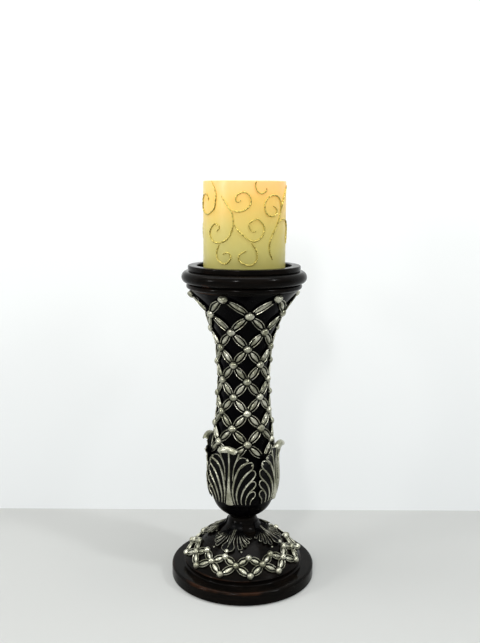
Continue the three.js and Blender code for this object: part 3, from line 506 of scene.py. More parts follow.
def wax():
    """Cream wax with a painted glow: amber at the top, greenish cream towards the foot."""
    look = Look("wax", Roughness=0.42, Coat_Weight=0.12, Coat_Roughness=0.3,
                Emission_Strength=0.62)
    height = look.node("ShaderNodeSeparateXYZ", {0: look.object}).outputs[2]
    limits = {0: height, 1: WAX_Z[0] * MM, 2: WAX_Z[1] * MM}
    share = look.node("ShaderNodeMapRange", limits).outputs[0]
    cloud = look.noise(38, 3, 0.5)
    uneven = look.math("ADD", share, look.math("MULTIPLY_ADD", cloud, 0.16, -0.08))
    # Painted glow: the base colour runs from a duller greenish cream at the foot to amber at the
    # top, light painted over the cream wax.
    tone = look.ramp(uneven, [(0.0, (176, 172, 104)), (0.3, (200, 193, 116)),
                              (0.55, (214, 199, 116)), (0.8, (232, 199, 112)),
                              (1.0, (246, 200, 134))])
    look.link(tone, "Base Color")
    # Painted glow: an emission on the wax, which is no lamp, brighter and more amber towards the
    # top.
    glow = look.ramp(uneven, [(0.0, (70, 66, 22)), (0.5, (128, 104, 34)),
                              (0.85, (190, 140, 50)), (1.0, (216, 152, 80))])
    look.link(glow, "Emission Color")
    look.rough(look.noise(160, 3), 0.34, 0.5)
    look.bump(look.noise(110, 3), 0.15, 0.3)
    return look.material


def gilt():
    """Gilt relief cord, olive in its shade."""
    look = Look("gilt", Metallic=0.5)
    cloud = look.noise(700, 3)
    look.paint(look.span(cloud, 0.35, 0.65), (152, 136, 50), (232, 214, 116))
    look.rough(cloud, 0.24, 0.4)
    look.bump(cloud, 0.12, 0.1)
    return look.material


def felt():
    """Black pressed felt with a pale fibre here and there."""
    look = Look("felt", Roughness=0.95)
    fibre = look.noise(1500, 4, 0.7)
    look.paint(fibre, (18, 18, 19), (46, 45, 44))
    look.bump(fibre, 0.5, 0.3)
    return look.material


def moulded(name, dark, light, rough):
    """Moulded plastic, or a plain finish like it, with a fine grain."""
    look = Look(name)
    grain = look.noise(900, 3)
    look.paint(grain, dark, light)
    look.rough(grain, rough - 0.06, rough + 0.06)
    look.bump(grain, 0.15, 0.08)
    return look.material


def steel():
    """Zinc-plated steel with fine turning marks."""
    look = Look("steel", Metallic=1.0)
    marks = look.noise(300, 4, 0.6, (1, 1, 8))
    look.paint(marks, (148, 150, 154), (196, 198, 200))
    look.rough(marks, 0.26, 0.42)
    look.bump(marks, 0.1, 0.05)
    return look.material


def sleeve():
    """A cell's plain sleeve: slate with a copper band at its positive end."""
    look = Look("cell_sleeve", Metallic=0.5, Roughness=0.3)
    height = look.node("ShaderNodeSeparateXYZ", {0: look.object}).outputs[2]
    band_z = box("battery_1")[1].z - 9
    band = look.span(height, (band_z - 0.1) * MM, (band_z + 0.1) * MM)
    grain = look.noise(500, 2)
    slate = look.mix(grain, (40, 48, 56), (54, 62, 70))
    look.paint(band, slate, (176, 118, 74))
    look.bump(grain, 0.05, 0.05)
    return look.material


def lamp():
    """Clear amber epoxy of the lit LED."""
    look = Look("lamp", Roughness=0.12, Transmission_Weight=0.5, Emission_Strength=2.5)
    cloud = look.noise(400, 2)
    look.paint(cloud, (255, 190, 96), (255, 214, 140))
    look.link(look.mix(cloud, (255, 170, 70), (255, 200, 110)), "Emission Color")
    return look.material


LOOKS = {
    "felt": felt(),
    "dark_stain": dark_stain(),
    "black_gloss": black_gloss(),
    "antique_silver": antique_silver(),
    "steel": steel(),
    "wax": wax(),
    "gilt_cord": gilt(),
    "ivory_plastic": moulded("ivory_plastic", (206, 198, 176), (224, 216, 196), 0.42),
    "cell_sleeve": sleeve(),
    "board_green": moulded("board_green", (22, 74, 44), (38, 98, 60), 0.35),
    "lamp_amber": lamp(),
    "black_plastic": moulded("black_plastic", (22, 22, 23), (38, 38, 39), 0.4),
}


def dress_frame():
    """Every CAD node gets the procedural material of its slot in the record."""
    for part in frame["record"]["subparts"]:
        node = frame["nodes"][part["node"]]
        node.data.materials.clear()
        node.data.materials.append(LOOKS[part["material_slot"]])


# -------- turned pieces
def dome_section(steps=24):
    share = np.linspace(0, 1, steps + 1)
    swell = DOME_CROWN * np.sin(np.pi * share)
    return np.stack([DOME_R[0] + (DOME_R[1] - DOME_R[0]) * share + swell,
                     DOME_Z[0] + (DOME_Z[1] - DOME_Z[0]) * share + swell], 1)


def neck_sweep(steps=12):
    slope = (DOME_R[0] - DOME_R[1]) / (DOME_Z[1] - DOME_Z[0])
    control = (NECK_R, NECK_Z[0] + (DOME_R[1] - NECK_R) / slope)
    return quadratic((DOME_R[1], NECK_Z[0]), control, (NECK_R, NECK_Z[0] + NECK_SWEEP), steps)


def belly_radius(height):
    below = height < BELLY_LEVEL
    end_r = np.where(below, BOWL_R, COLUMN_FOOT_R)
    end_z = np.where(below, BULB_Z[0] + BOWL_HEIGHT, BULB_Z[1])
    return BELLY_R - (BELLY_R - end_r) * ((height - BELLY_LEVEL) / (end_z - BELLY_LEVEL)) ** 2


def column_radius(height):
    down = np.clip((COLUMN_WAIST_Z - height) / (COLUMN_WAIST_Z - COLUMN_Z[0]), 0, 1)
    up = np.clip((height - COLUMN_WAIST_Z) / (COLUMN_Z[1] - COLUMN_WAIST_Z), 0, 1)
    foot = (COLUMN_FOOT_R - COLUMN_WAIST_R) * down**1.5
    return COLUMN_WAIST_R + foot + (COLUMN_TOP_R - COLUMN_WAIST_R) * up**2.9


def column_section(steps=60):
    height = np.linspace(COLUMN_Z[0], COLUMN_Z[1], steps + 1)
    return np.stack([column_radius(height), height], 1)


def make_turned():
    low, high = PLINTH_Z
    bored("plinth", [
        [(PLINTH_R - PLINTH_CHAMFER, low), (PLINTH_R, low + PLINTH_CHAMFER)],
        arc((PLINTH_R - PLINTH_EDGE, high - PLINTH_EDGE), PLINTH_EDGE, 0, 90),
        [(PLINTH_R - 6, high), (STEP_R + 3, high)],
    ], "dark_stain", "base_plinth", 192)

    low, high = STEP_Z
    waist = STEP_R - STEP_COVE
    bored("step", [
        quadratic((STEP_R + STEP_COVE, low), (waist, low), (waist, low + 1.6 * STEP_COVE)),
        [(waist, high - 2 * STEP_RIM - 0.4)],
        arc((STEP_R - STEP_RIM, high - STEP_RIM), STEP_RIM, -90, 90, 12),
    ], "dark_stain", "base_step", 192, 0.35)

    bored("dome", [dome_section()], "dark_stain", "base_dome", 160)

    low, high = NECK_Z
    foot = (NECK_R, low + NECK_SWEEP)
    waist = (NECK_R - 2 * NECK_WAIST, (low + NECK_SWEEP + high) / 2)
    bored("neck", [neck_sweep(), quadratic(foot, waist, (NECK_R, high))[1:]],
          "dark_stain", "neck_spool")

    low, high = BULB_Z
    bowl = (BOWL_R, low + BOWL_HEIGHT)
    shoulder = (BOWL_SHOULDER[0], low + BOWL_SHOULDER[1])
    height = np.linspace(low + BOWL_HEIGHT, high, 33)
    belly = np.stack([belly_radius(height), height], 1)
    bored("bulb", [quadratic((NECK_R, low), shoulder, bowl, 14), belly[1:]],
          "black_gloss", "bulb_body")

    bored("column", [column_section()], "black_gloss", "column_core")

    low, high = COLLAR_Z
    bead = (high - low - COLLAR_FILLET) / 2
    level = low + COLLAR_FILLET
    bored("collar", [
        quadratic((COLUMN_TOP_R, low), (COLUMN_TOP_R + 0.6, level), (COLLAR_R - bead, level)),
        arc((COLLAR_R - bead, high - bead), bead, -90, 90, 16),
    ], "dark_stain", "cup_collar", 160, 0.3, COLLAR_BORE)

    low, high = CUP_Z
    seat_top = COLLAR_Z[1]
    torus = arc((CUP_REACH - TORUS_R, seat_top + TORUS_R), TORUS_R, -90, 68, 22)
    level = torus[-1, 1]
    pocket_floor = SEAT_Z - NUT_POCKET_DEPTH
    turned("cup", np.vstack([
        [(ROD_HOLE, low), (SPIGOT_R, low), (SPIGOT_R, seat_top)], torus,
        quadratic((LIP_R - LIP_GROOVE, level + 0.2), (LIP_R - LIP_GROOVE, level + LIP_GROOVE),
                  (LIP_R, level + 2 * LIP_GROOVE), 4),
        arc((LIP_R - LIP_ROUND, high - LIP_ROUND), LIP_ROUND, 0, 90, 8),
        arc((RECESS_R + LIP_ROUND, high - LIP_ROUND), LIP_ROUND, 90, 180, 8),
        [(RECESS_R, SEAT_Z), (NUT_POCKET_R, SEAT_Z), (NUT_POCKET_R, pocket_floor),
         (ROD_HOLE, pocket_floor)],
    ]), "stand", "dark_stain", "candle_cup", 192, 0.3)


def make_wax():
    """The wax as one body: sleeve, core, glow well and the hollows for the power unit."""
    low, high = WAX_Z
    edge = WAX_EDGE
    floor = high - WELL_DEPTH
    turned("wax_body", np.vstack([
        [(STEM_HOLE, floor)],
        arc((WELL_R - WELL_ROUND, floor + WELL_ROUND), WELL_ROUND, -90, 0),
        [(WELL_R, high - edge)], arc((WELL_R + edge, high - edge), edge, 180, 90, 5),
        arc((WAX_R - edge, high - edge), edge, 90, 0, 6),
        arc((WAX_R - edge, low + edge), edge, 0, -90, 5),
        [(UNIT_HOLLOW[0], low), UNIT_HOLLOW, (TUBE_HOLLOW[0], UNIT_HOLLOW[1]), TUBE_HOLLOW,
         (STEM_HOLE, TUBE_HOLLOW[1])],
    ])[::-1], "candle", "wax", ("candle_wax", "candle_core"), 160)


# -------- lattice
BEAD_TOP = 4.7
BEAD_BASE = 1.5
PETAL_HALF = 3.5
PETAL_END = 0.9
RAIL = 0.4
ALMOND = 1.85
# Rows of the column's net: the first one's drop from the top, their pitch, how it closes up
# towards the foot, and how far above the foot they stop.
NET_DROP, NET_PITCH, NET_CROWDING, NET_CLEAR = 2.2, 16.9, 0.147, 13


def petal(casting, wall, start, end, share=1.0):
    """Two rails round a lens, a dark groove inside them and a raised almond in the groove.
    The rails darken where they run in beside the knobs."""
    u = np.linspace(0, share, max(5, int(24 * share)))
    azimuth = start[0] + (end[0] - start[0]) * u
    length = start[1] + (end[1] - start[1]) * u
    radius = wall.radius(length)
    run, rise = (end[0] - start[0]) * radius, end[1] - start[1]
    size = np.hypot(run, rise)
    open_u = np.clip((u - 0.1) / 0.8, 0, 1)
    bow = PETAL_END + (PETAL_HALF - PETAL_END) * np.sin(np.pi * open_u) ** 0.7
    bright = np.clip((np.minimum(u, 1 - u) - 0.14) / 0.1, 0, 1)
    for side in (-1, 1):
        across = azimuth - side * rise / size * bow / radius
        along = length + side * run / size * bow
        casting.ridge(wall, across, along, RAIL, 0.8, 1.7, (-0.3, 0.05 + 0.85 * bright), 8)
    casting.ridge(wall, azimuth, length, bow, 0.45, 0.95, (0.0, 0.0), 8)
    lens = np.clip((u - 0.19) / 0.62, 0, 1)
    inside = (lens > 0) & (lens < 1)
    if inside.sum() > 3:
        swell = np.sin(np.pi * lens[inside])
        casting.ridge(wall, azimuth[inside], length[inside], ALMOND * swell**0.75 + 0.05,
                      1.3 * swell**0.5 + 0.1, 1.25, (-0.1, 1.0), 12)


def lattice(name, node, wall, rows, count, first_angle, bead, growth=0.0, tail=0.0):
    """Rows of knobs joined by petals. bead is a knob's radius, which grows with the wall's
    radius to the power growth, and tail the share of a petal that runs on below the last row."""
    casting = Casting()
    waist = wall.points[:, 0].min()
    pitch = 2 * np.pi / count

    def spot(row, place):
        offset = 0.5 if row % 2 else 0.0
        return math.radians(first_angle) + pitch * (place + offset), rows[row]

    for row in range(len(rows)):
        for place in range(count):
            azimuth, length = spot(row, place)
            size = bead * (wall.radius(length) / waist) ** growth
            casting.bead(wall, azimuth, length, (size, BEAD_TOP - BEAD_BASE), BEAD_BASE, 0.07)
            first = place if row % 2 else place - 1
            for shift in (0, 1):
                if row + 1 < len(rows):
                    petal(casting, wall, (azimuth, length), spot(row + 1, first + shift))
                elif tail:
                    end = (azimuth + pitch * (shift - 0.5), 2 * rows[-1] - rows[-2])
                    petal(casting, wall, (azimuth, length), end, tail)
    casting.make(name, "stand", "antique_silver", node)


def make_lattices():
    wall = Wall(column_section(160))
    rows = []
    height, row = COLUMN_Z[1] - NET_DROP, 0
    while height >= COLUMN_Z[0] + NET_CLEAR:
        rows.append(wall.length_at(height))
        row += 1
        height = COLUMN_Z[1] - NET_DROP - NET_PITCH * row + NET_CROWDING * row**2
    lattice("column_net", "column_lattice", wall, rows, 6, -22.5, 3.4, 0.35, 0.95)
    lattice("dome_net", "base_lattice", Wall(dome_section(60)), [3.5, 13.2, 20.6], 12, 7.5, 3.1)


# -------- acanthus leaves
# Hairpin ridges of one half of a bulb leaf: degrees from its middle and height. Each starts on
# its neighbour, goes round its lobe's tip and runs down to the root.
BULB_HAIRPINS = [
    [(12.1, 124.4), (15.4, 127.3), (19.8, 130), (25, 130.9), (28.9, 130), (30.1, 127.4),
     (27.7, 124.6), (22.4, 122.3), (18.1, 119.4), (13.7, 114.7), (10.5, 109.3), (8.2, 103.4),
     (6.8, 97.5), (6.9, 92.2), (8.4, 86.5), (9.8, 82.5)],
    [(21, 119.2), (25.1, 122), (30.3, 124.3), (34.7, 124.7), (37.6, 123.1), (37.6, 119.8),
     (34, 116.4), (27.8, 112.8), (21.7, 108), (17.3, 103), (14.3, 98), (12.7, 93), (12.9, 88.5),
     (14.6, 82.5)],
    [(25.6, 111), (31.3, 115), (36.6, 116.8), (40.6, 115.7), (41.6, 113), (39.6, 109.7),
     (35, 106.2), (28.8, 102), (24.5, 98), (21.6, 93.6), (20, 89), (20, 85), (21, 82.5)],
    [(27.8, 101.4), (33.3, 104.6), (37.8, 106), (41.3, 105), (41.9, 102.4), (39.2, 99.5),
     (34.6, 96.6), (30.6, 93.2), (27.9, 89), (27.2, 85), (27.6, 82.5)],
    [(31.6, 94), (36.2, 96), (40.2, 95.8), (41.7, 93.6), (40.2, 90.8), (36.8, 88.2), (35, 85.2),
     (34.6, 82.5)],
]
BULB_SHAFTS = [0.95, 0.95, 0.8, 0.62, 0.5]
THROAT = [(6.5, 106), (6.9, 112), (8.0, 118), (10.6, 123.3), (13.6, 128), (15.4, 132),
          (16.1, 135.5)]
ROLL_CURL = [(34.45, 101), (34.05, 109), (33.65, 117), (33.85, 125), (34.3, 131), (34.7, 135.5),
             (35.8, 138.4), (37.5, 139), (38.9, 138), (39.4, 136.4), (39.0, 135.2)]
ROLL_FOOT_Z, ROLL_CREST_Z = 125, 138.5
ROLL_SAG = 0.04
BULB_TIP_CURLS = (1.9, 1.5, 1.3, 1.0, 0.8)
RIB_Z = [82, 88, 96.5, 108, 120, 131, 136]
RIB_HALF = [4.0, 3.1, 1.8, 1.05, 0.8, 0.85, 0.4]
SHEET_BASE = 1.3
SHEET_THICK = 1.1
OUTSIDE = -9.0
LEAF_SCALE = BELLY_R + SHEET_BASE


class LeafWall(Wall):
    """The wall that a bulb leaf follows. Its rolled top arches: it sags towards both sides."""

    def __init__(self):
        height = np.linspace(BULB_Z[0] + BOWL_HEIGHT + 2.5, BELLY_LEVEL, 24)
        climb = np.stack([belly_radius(height) + SHEET_BASE, height], 1)
        super().__init__(through(np.vstack([climb, ROLL_CURL]), 0.3))
        self.bend = self.length_at(ROLL_FOOT_Z), self.length_at(ROLL_CREST_Z)

    def place(self, azimuth, length, lift):
        spots = super().place(azimuth, length, lift)
        share = np.clip((length - self.bend[0]) / (self.bend[1] - self.bend[0]), 0, 1)
        spots[..., 2] -= ROLL_SAG * (azimuth * LEAF_SCALE) ** 2 * share**2
        return spots


def hairpin_widths(path, tip, shaft):
    """Half widths along a hairpin: fine up to and round the tip, full down its long side."""
    share = np.linspace(0, 1, len(path))
    marks = [0, 0.1, tip, tip + 0.18, 0.75, 1]
    return np.interp(share, marks, [0.3, 0.46, 0.48, shaft, shaft, 0.35])


def dark(x, y):
    """The relief of a sheet's side that stays black all over."""
    return 0 * x


def make_ring(leaf, name, node):
    """A leaf and its copies, evenly round the stand."""
    for i in range(LEAF_COUNT):
        turn = math.radians(LEAF_ANGLE + 360 / LEAF_COUNT * i)
        leaf.make(f"{name}_{i + 1}", "stand", "antique_silver", f"{node}_{i + 1}", turn)


def make_bulb_leaves():
    wall = LeafWall()
    roll_top, end = wall.bend[1], wall.length

    def flat(points):
        """Degrees and height as millimetres across and along the leaf."""
        p = np.array(points, float)
        return np.stack([np.radians(p[:, 0]) * LEAF_SCALE, wall.length_at(p[:, 1])], 1)

    hairpins = [through(flat(points), 0.45) for points in BULB_HAIRPINS]
    throat = through(flat(THROAT), 0.45)
    tips = [path[np.argmax(path[:, 0])] for path in hairpins]

    across = np.arange(-26.5, 26.6, 0.55)
    along = np.arange(0, end + 0.4, 0.5)
    x, y = np.meshgrid(across, along, indexing="ij")
    foot = 1.0
    field = np.full(x.shape, OUTSIDE)
    for path in hairpins + [throat]:
        outline = np.vstack([[(0, path[0, 1])], path, [(path[-1, 0], foot), (0, foot)]])
        if path is throat:
            outline = np.vstack([[(0, foot), (throat[0, 0], foot)], throat, [(0, throat[-1, 1])]])
        field = np.maximum(field, depth_inside(np.abs(x), y, outline) + 0.45)
    tongue = throat[-1, 1] - 1.2

    def tongue_half(share):
        """Half width of the rolled top, from the throat's end to its tip."""
        taper = np.interp(share, [0, 0.45, 1], [1, 0.9, 0.72])
        return (throat[-1, 0] + 0.5) * taper * np.clip(1 - share**5, 0, 1) ** (1 / 5)

    share = np.clip((y - tongue) / (end - tongue), 0, 1.2)
    field = np.maximum(field, np.where(y > tongue, tongue_half(share) - np.abs(x), OUTSIDE))

    def lift(x, y):
        """Lobe tips curl away from the bulb, and the middle of the leaf is slightly hollow."""
        total = 0.3 * (np.abs(x) / 20) ** 2
        for tip, height in zip(tips, BULB_TIP_CURLS):
            near = np.hypot(np.abs(x) - tip[0] + 1.0, y - tip[1] + 0.5) / 4.2
            total = total + height * np.exp(-near**2)
        return total

    def back(x, y):
        """The roll shows the back of the sheet, brushed bright from its crest on."""
        return np.interp(y, [roll_top - 3.5, roll_top - 0.5, end], [0.0, 0.7, 1.0])

    leaf = Casting()
    leaf.sheet(across, along, field, lambda a, b, c: wall.place(a / LEAF_SCALE, b, c), lift,
               SHEET_THICK, dark, back)
    edge = np.linspace(-1, 1, 61)
    share = 1 - 0.62 * np.abs(edge) ** 3
    hem = np.sign(edge) * tongue_half(share)
    leaf.ridge(wall, hem / LEAF_SCALE, tongue + share * (end - tongue), 0.75, 0.7, -0.45,
               (1.0, 1.0))
    for side in (-1, 1):
        for path, shaft in zip(hairpins, BULB_SHAFTS):
            tip = np.argmax(path[:, 0]) / len(path)
            widths = hairpin_widths(path, tip, shaft)
            base = lift(*path.T) + 0.1
            crest = np.clip(0.45 + 0.7 * widths, 0, 1)
            leaf.ridge(wall, side * path[:, 0] / LEAF_SCALE, path[:, 1], widths, 0.35 + widths,
                       base, (-0.2, crest))
        widths = np.interp(throat[:, 1], [throat[0, 1], throat[-1, 1]], [0.4, 0.75])
        leaf.ridge(wall, side * throat[:, 0] / LEAF_SCALE, throat[:, 1], widths, 0.3 + widths,
                   lift(*throat.T) + 0.1)
        for tip, size in zip(tips[:2], (1.25, 0.95)):
            azimuth, length = side * (tip[0] - 0.8) / LEAF_SCALE, tip[1] + 0.4
            leaf.bead(wall, azimuth, length, (size, size), lift(*tip) + 0.3)
    rib = np.linspace(wall.length_at(RIB_Z[0]), wall.length_at(RIB_Z[-1]), 70)
    rib_half = np.interp(np.interp(rib, wall.marks, wall.points[:, 1]), RIB_Z, RIB_HALF)
    leaf.ridge(wall, 0 * rib, rib, rib_half, 0.55 + 0.3 * rib_half, 0.1, sides=14)
    make_ring(leaf, "acanthus", "bulb_leaf")


# Lobes of one half of a dome leaf: degrees from its middle and radius at the root and at the
# tip, and the half width near the tip.
DOME_ROOT_R = 17.2
DOME_LOBES = [(10.5, 19.6, 34.6, 1.9), (14, 27.4, 32.2, 1.55), (17, 33.2, 29.3, 1.35),
              (19.5, 39.3, 25.4, 1.2)]
DOME_MIDDLE = [(8.6, 17.4), (7.2, 22), (5.9, 28), (7.6, 31), (9.6, 33.5), (9.0, 35.9),
               (5.2, 37.5), (0, 37.9)]
DOME_HUB = [(0, 14.8), (19, 14.8), (22, 17.5), (22.5, 21), (16, 24), (0, 25)]
DOME_SIDE_RIB = [(2.4, DOME_ROOT_R), (2.0, 24), (0.9, 31), (0, 35)]
DOME_SIDE_BEAD, DOME_TIP_BEAD = (21.2, 37.4), (0, 37.4)
DOME_RIDGE = 0.38
DOME_SHEET_BASE = 1.1
DOME_SHEET_THICK = 0.9


def make_dome_leaves():
    wall = Wall(np.vstack([dome_section(60), neck_sweep(20)[1:]]))
    slant = math.hypot(DOME_R[0] - DOME_R[1], DOME_Z[1] - DOME_Z[0]) / (DOME_R[0] - DOME_R[1])

    def flat(points):
        """Degrees and radius as places on the dome's surface rolled out flat."""
        p = np.array(points, float)
        turn = np.radians(p[:, 0]) / slant
        return np.stack([p[:, 1] * slant * np.sin(turn), p[:, 1] * slant * np.cos(turn)], 1)

    def on_dome(x, y):
        """Azimuth and length up the wall of places on the flat pattern."""
        length = np.interp(np.hypot(x, y) / slant, wall.points[::-1, 0], wall.marks[::-1])
        return np.arctan2(x, y) * slant, length

    def lobe(root, tip_angle, tip_r, half):
        """A hairpin round a lobe that leaves the root straight outward and bends to its tip."""
        bend = (root * 1.25, 0.62 * tip_r + 0.38 * DOME_ROOT_R)
        middle = quadratic(*flat([(root, DOME_ROOT_R), bend, (tip_angle, tip_r)]), 24)
        heading = np.gradient(middle, axis=0)
        heading /= np.hypot(*heading.T)[:, None]
        normal = np.stack([heading[:, 1], -heading[:, 0]], 1)
        share = np.linspace(0, 1, len(middle))
        width = (0.42 + (half - 0.42) * share**0.9)[:, None]
        turn = np.radians(np.linspace(0, 180, 9))[1:-1, None]
        cap = middle[-2] + half * (np.cos(turn) * normal[-2] + np.sin(turn) * heading[-2])
        near, far = (middle[:-2] + side * normal[:-2] * width[:-2] for side in (-1, 1))
        return through(np.vstack([far, cap, near[::-1]]), 0.4)

    lobes = [lobe(*numbers) for numbers in DOME_LOBES]
    half_middle = flat(DOME_MIDDLE)
    middle = through(np.vstack([half_middle, (half_middle * [-1, 1])[-2::-1]]), 0.4)

    across = np.arange(-28, 28.1, 0.5)
    along = np.arange(17, 51, 0.5)
    x, y = np.meshgrid(across, along, indexing="ij")
    field = depth_inside(x, y, middle)
    for path in lobes:
        field = np.maximum(field, depth_inside(np.abs(x), y, path))
    hub = flat(DOME_HUB)
    hub = np.vstack([hub, (hub * [-1, 1])[::-1]])
    field = np.maximum(field, depth_inside(x, y, hub)) + 0.4

    def lift(x, y):
        """The lobes stand off the dome towards their tips."""
        radius = np.hypot(x, y) / slant
        return DOME_SHEET_BASE + 1.5 * np.clip((radius - 20) / 16, 0, 1) ** 1.6

    leaf = Casting()
    leaf.sheet(across, along, field, lambda a, b, c: wall.place(*on_dome(a, b), c), lift,
               DOME_SHEET_THICK, dark, dark)
    both = [path * [side, 1] for path in lobes for side in (1, -1)] + [middle]
    for path in both:
        azimuth, length = on_dome(*path.T)
        radius = np.hypot(*path.T) / slant
        fade = np.clip((radius - 19) / 7, 0, 1)
        width = DOME_RIDGE * (0.7 + 0.3 * fade)
        leaf.ridge(wall, azimuth, length, width, 0.3 + width, lift(*path.T) + 0.15,
                   (-0.4, 0.15 + 0.42 * fade), 8)
    for side in (-1, 1):
        rib = through(flat([(side * angle, radius) for angle, radius in DOME_SIDE_RIB]), 0.4)
        azimuth, length = on_dome(*rib.T)
        leaf.ridge(wall, azimuth, length, np.linspace(0.6, 0.35, len(rib)), 0.8,
                   lift(*rib.T) + 0.15, (-0.4, 0.55), 8)
    for side in (-1, 0, 1):
        angle, radius = DOME_SIDE_BEAD if side else DOME_TIP_BEAD
        x, y = flat([(side * angle, radius)])[0]
        azimuth, length = on_dome(x, y)
        size = (0.8, 0.7) if side else (1.9, 0.9)
        leaf.bead(wall, azimuth, length, size, lift(x, y) + 0.4)
    make_ring(leaf, "dome_acanthus", "dome_leaf")


# -------- candle cords
# Routes of the gilt cords: degrees round the wax and height above the candle's foot.
SCROLLS = [
    [(-50, 88.5), (-42, 78.2), (-43, 68), (-46, 63.2), (-59, 59), (-72, 61), (-80, 66.9),
     (-75, 75.2), (-64, 77), (-58, 74), (-58, 71.2)],
    [(-33, 75.4), (-22, 65.2), (-17, 59.5), (-15.6, 51.5), (-19, 42.3), (-26, 36.6), (-35, 34.4),
     (-45, 34.6), (-51, 37.5), (-54, 42), (-52, 46.2), (-44, 50.8), (-37, 49.5), (-36, 47),
     (-40, 44.2)],
    [(-18, 63.2), (-8, 61.8), (1, 63.6), (7, 67.6), (8, 72.5), (4, 77.2), (-4, 78.6), (-11, 75.4),
     (-12, 71.5), (-9, 70), (-5, 71.5)],
    [(-36, 32.6), (-40, 26.7), (-39, 19.7), (-28, 15.6), (-20, 19.1), (-19, 23.2), (-24, 26),
     (-30, 24)],
    [(-14, 50.2), (-7, 44.1), (6, 37.3), (15, 36.1), (24, 40.6), (27, 47.5), (21, 53.9),
     (15, 55.3), (7, 52.2), (6, 48.2), (10, 44.6), (15, 44.7)],
    [(8.6, 34.6), (15, 28.6), (17, 21.6), (13, 16.4), (6, 14.7), (-4, 17), (-8, 20.5), (-6, 24.5),
     (2, 27.5)],
    [(15, 88.2), (14, 84.6), (16, 80.1), (22, 77.5), (29, 79.6), (30, 82.4)],
    [(57, 61.6), (57, 69.8), (49, 75.3), (38, 75.9), (30, 72.2), (27, 66.4), (30, 60.4),
     (37, 57.8), (45, 58.6), (48, 62), (46, 65), (41, 66.6)],
    [(80, 85), (70, 77.4), (59, 65.1), (51, 52.4), (39, 39.8), (35, 32), (36, 26), (40, 19.3)],
    [(54.5, 52.4), (64, 54.8), (74, 54), (81, 50), (83, 44.4), (81, 38), (78, 32.7)],
]
CORD_HALF = 0.62


def make_scrolls():
    wall = Wall([(WAX_R, level) for level in WAX_Z])
    for name, turn in (("front", 0), ("back", 180)):
        for i, route in enumerate(SCROLLS):
            path = through([(math.radians(a) * WAX_R, height) for a, height in route], 0.6)
            taper = np.interp(np.linspace(0, 1, len(path)), [0, 0.08, 0.85, 1], [0.5, 1, 1, 0.55])
            wave = 1 + 0.12 * np.sin(np.arange(len(path)) * 0.9 + i)
            half = CORD_HALF * taper * wave
            cord = Casting()
            azimuth = path[:, 0] / WAX_R + math.radians(turn)
            cord.ridge(wall, azimuth, path[:, 1], half, half + 0.05, 0.45, (0.2, 1.0), 8)
            cord.make(f"cord_{name}_{i + 1}", "candle", "gilt_cord", f"scroll_{name}_{i + 1}")


# -------- stage, light and camera
# The stage is in metres.
WALL_Y, FLOOR_NEAR, FLOOR_FAR, STAGE_SIDE, WALL_TOP = 0.15, -2.5, 2.6, 3.0, 2.2
FLOOR_GLOW = [(0.0, (112, 114, 112)), (1.0, (112, 114, 112))]
WALL_GLOW = [(0.0, (196, 199, 199)), (1.0, (226, 228, 227))]
WARM, COOL, WHITE = (1, 0.99, 0.97), (0.97, 0.99, 1), (1, 1, 1)
# Each lamp's place, size, power and tint. All aim at the middle of the stand.
LAMPS = {
    "front": ((-0.4, -1.45, 1.15), (0.16, 0.34), 10.0, WARM),
    "left": ((-1.35, -0.7, 0.62), (0.14, 0.26), 6.0, WARM),
    "right": ((1.1, -0.62, 1.2), (0.15, 0.26), 7.5, COOL),
    "top": ((0.0, -0.12, 1.35), (1.3, 0.5), 9.5, WHITE),
    "top_left": ((-0.7, 0.0, 1.15), (0.3, 0.3), 1.5, WHITE),
}
LAMP_AIM = (0, 0, 0.2)
FOCAL_PIXELS, FRAME_HEIGHT = 769.5, 643
CAMERA_PLACE = (-3.7, -716.3, 369.8)
CAMERA_PITCH, CAMERA_ROLL = 9.385, 0.295


def sheet_of_stage(name, low, high, look):
    """A sheet across the whole stage between two edges, each given by its y and z."""
    side = STAGE_SIDE
    corners = [(-side, *low), (side, *low), (side, *high), (-side, *high)]
    mesh = bpy.data.meshes.new(name)
    mesh.from_pydata(corners, [], [(0, 1, 2, 3)])
    mesh.materials.append(look)
    made = add_object(name, mesh)


def seen_rays(tree):
    """1 for a ray of the camera, of a reflection or through a clear piece, and 0 for light."""
    path = tree.nodes.new("ShaderNodeLightPath").outputs
    seen = path["Is Camera Ray"]
    for ray in ("Is Glossy Ray", "Is Transmission Ray"):
        either = tree.nodes.new("ShaderNodeMath")
        either.operation = "MAXIMUM"
        tree.links.new(seen, either.inputs[0])
        tree.links.new(path[ray], either.inputs[1])
        seen = either.outputs[0]
    return seen


def stage_look(name, shade, glow, one_sided=False):
    """Pale matt card. A share of its brightness, which the camera and reflections see, is its
    own, so that it stays pale without more light on the object and still takes a shadow."""
    look = Look(name, Roughness=0.9)
    lighter = tuple(min(255, channel + 4) for channel in shade)
    look.paint(look.noise(3, 2), shade, lighter)
    height = look.node("ShaderNodeSeparateXYZ", {0: look.object}).outputs[2]
    rise = look.node("ShaderNodeMapRange", {0: height, 1: 0.0, 2: 0.45}).outputs[0]
    inputs = {"Color": look.ramp(rise, glow), "Strength": seen_rays(look.tree)}
    own = look.node("ShaderNodeEmission", inputs).outputs[0]
    result = look.node("ShaderNodeAddShader", {0: look.shader.outputs[0], 1: own}).outputs[0]
    if one_sided:
        behind = look.node("ShaderNodeNewGeometry").outputs["Backfacing"]
        clear = look.node("ShaderNodeBsdfTransparent").outputs[0]
        inputs = {0: behind, 1: result, 2: clear}
        result = look.node("ShaderNodeMixShader", inputs).outputs[0]
    look.tree.links.new(result, look.tree.nodes["Material Output"].inputs["Surface"])
    return look.material


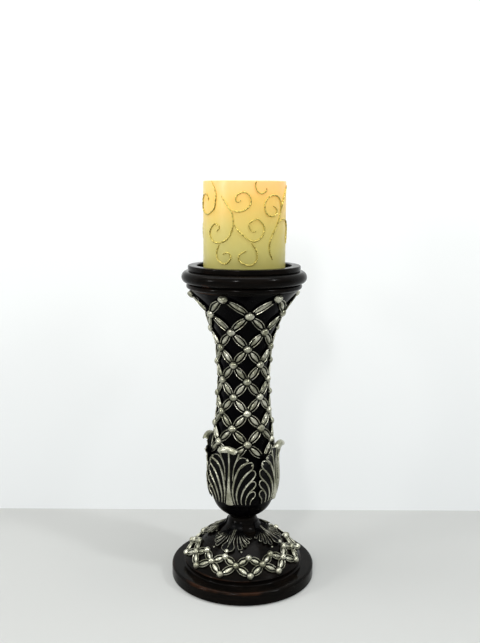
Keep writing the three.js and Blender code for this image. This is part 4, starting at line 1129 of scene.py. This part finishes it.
def make_stage():
    floor = stage_look("floor", (181, 182, 180), FLOOR_GLOW)
    sheet_of_stage("floor", (FLOOR_NEAR, 0), (FLOOR_FAR, 0), floor)
    wall = stage_look("backdrop", (150, 152, 152), WALL_GLOW, True)
    sheet_of_stage("backdrop", (WALL_Y, 0), (WALL_Y, WALL_TOP), wall)


def make_lamps():
    for name, (place, size, power, tint) in LAMPS.items():
        data = bpy.data.lights.new(name, "AREA")
        data.shape = "RECTANGLE"
        data.size, data.size_y = size
        data.energy = power
        data.color = tint
        made = add_object(name, data)
        made.location = place
        direction = Vector(LAMP_AIM) - Vector(place)
        made.rotation_euler = direction.to_track_quat("-Z", "Y").to_euler()


def make_world():
    """A dim grey room for light, which the camera and reflections see as pale, and paler
    towards the top."""
    world = bpy.data.worlds.new("room")
    bpy.context.scene.world = world
    world.use_nodes = True
    nodes, links = world.node_tree.nodes, world.node_tree.links
    height = nodes.new("ShaderNodeSeparateXYZ")
    links.new(nodes.new("ShaderNodeTexCoord").outputs["Generated"], height.inputs[0])
    sky = nodes.new("ShaderNodeValToRGB")
    sky.color_ramp.elements[0].color = colour((164, 166, 166))
    sky.color_ramp.elements[1].color = colour((238, 240, 240))
    links.new(height.outputs[2], sky.inputs[0])
    mix = nodes.new("ShaderNodeMix")
    mix.data_type = "RGBA"
    mix.inputs[6].default_value = colour((72, 74, 76))
    links.new(seen_rays(world.node_tree), mix.inputs[0])
    links.new(sky.outputs[0], mix.inputs[7])
    links.new(mix.outputs[2], nodes["Background"].inputs["Color"])


def make_camera():
    data = bpy.data.cameras.new("camera")
    data.sensor_width = 36
    data.lens = FOCAL_PIXELS * data.sensor_width / FRAME_HEIGHT
    data.clip_start, data.clip_end = 0.01, 50
    camera = add_object("camera", data)
    bpy.context.scene.camera = camera
    tilt = Matrix.Rotation(math.radians(90 - CAMERA_PITCH), 4, "X")
    roll = Matrix.Rotation(math.radians(CAMERA_ROLL), 4, "Z")
    camera.matrix_world = Matrix.Translation(Vector(CAMERA_PLACE) * MM) @ tilt @ roll


bpy.context.scene.view_settings.view_transform = "Standard"
dress_frame()
make_camera()
make_stage()
make_lamps()
make_world()
make_turned()
make_wax()
make_lattices()
make_bulb_leaves()
make_dome_leaves()
make_scrolls()
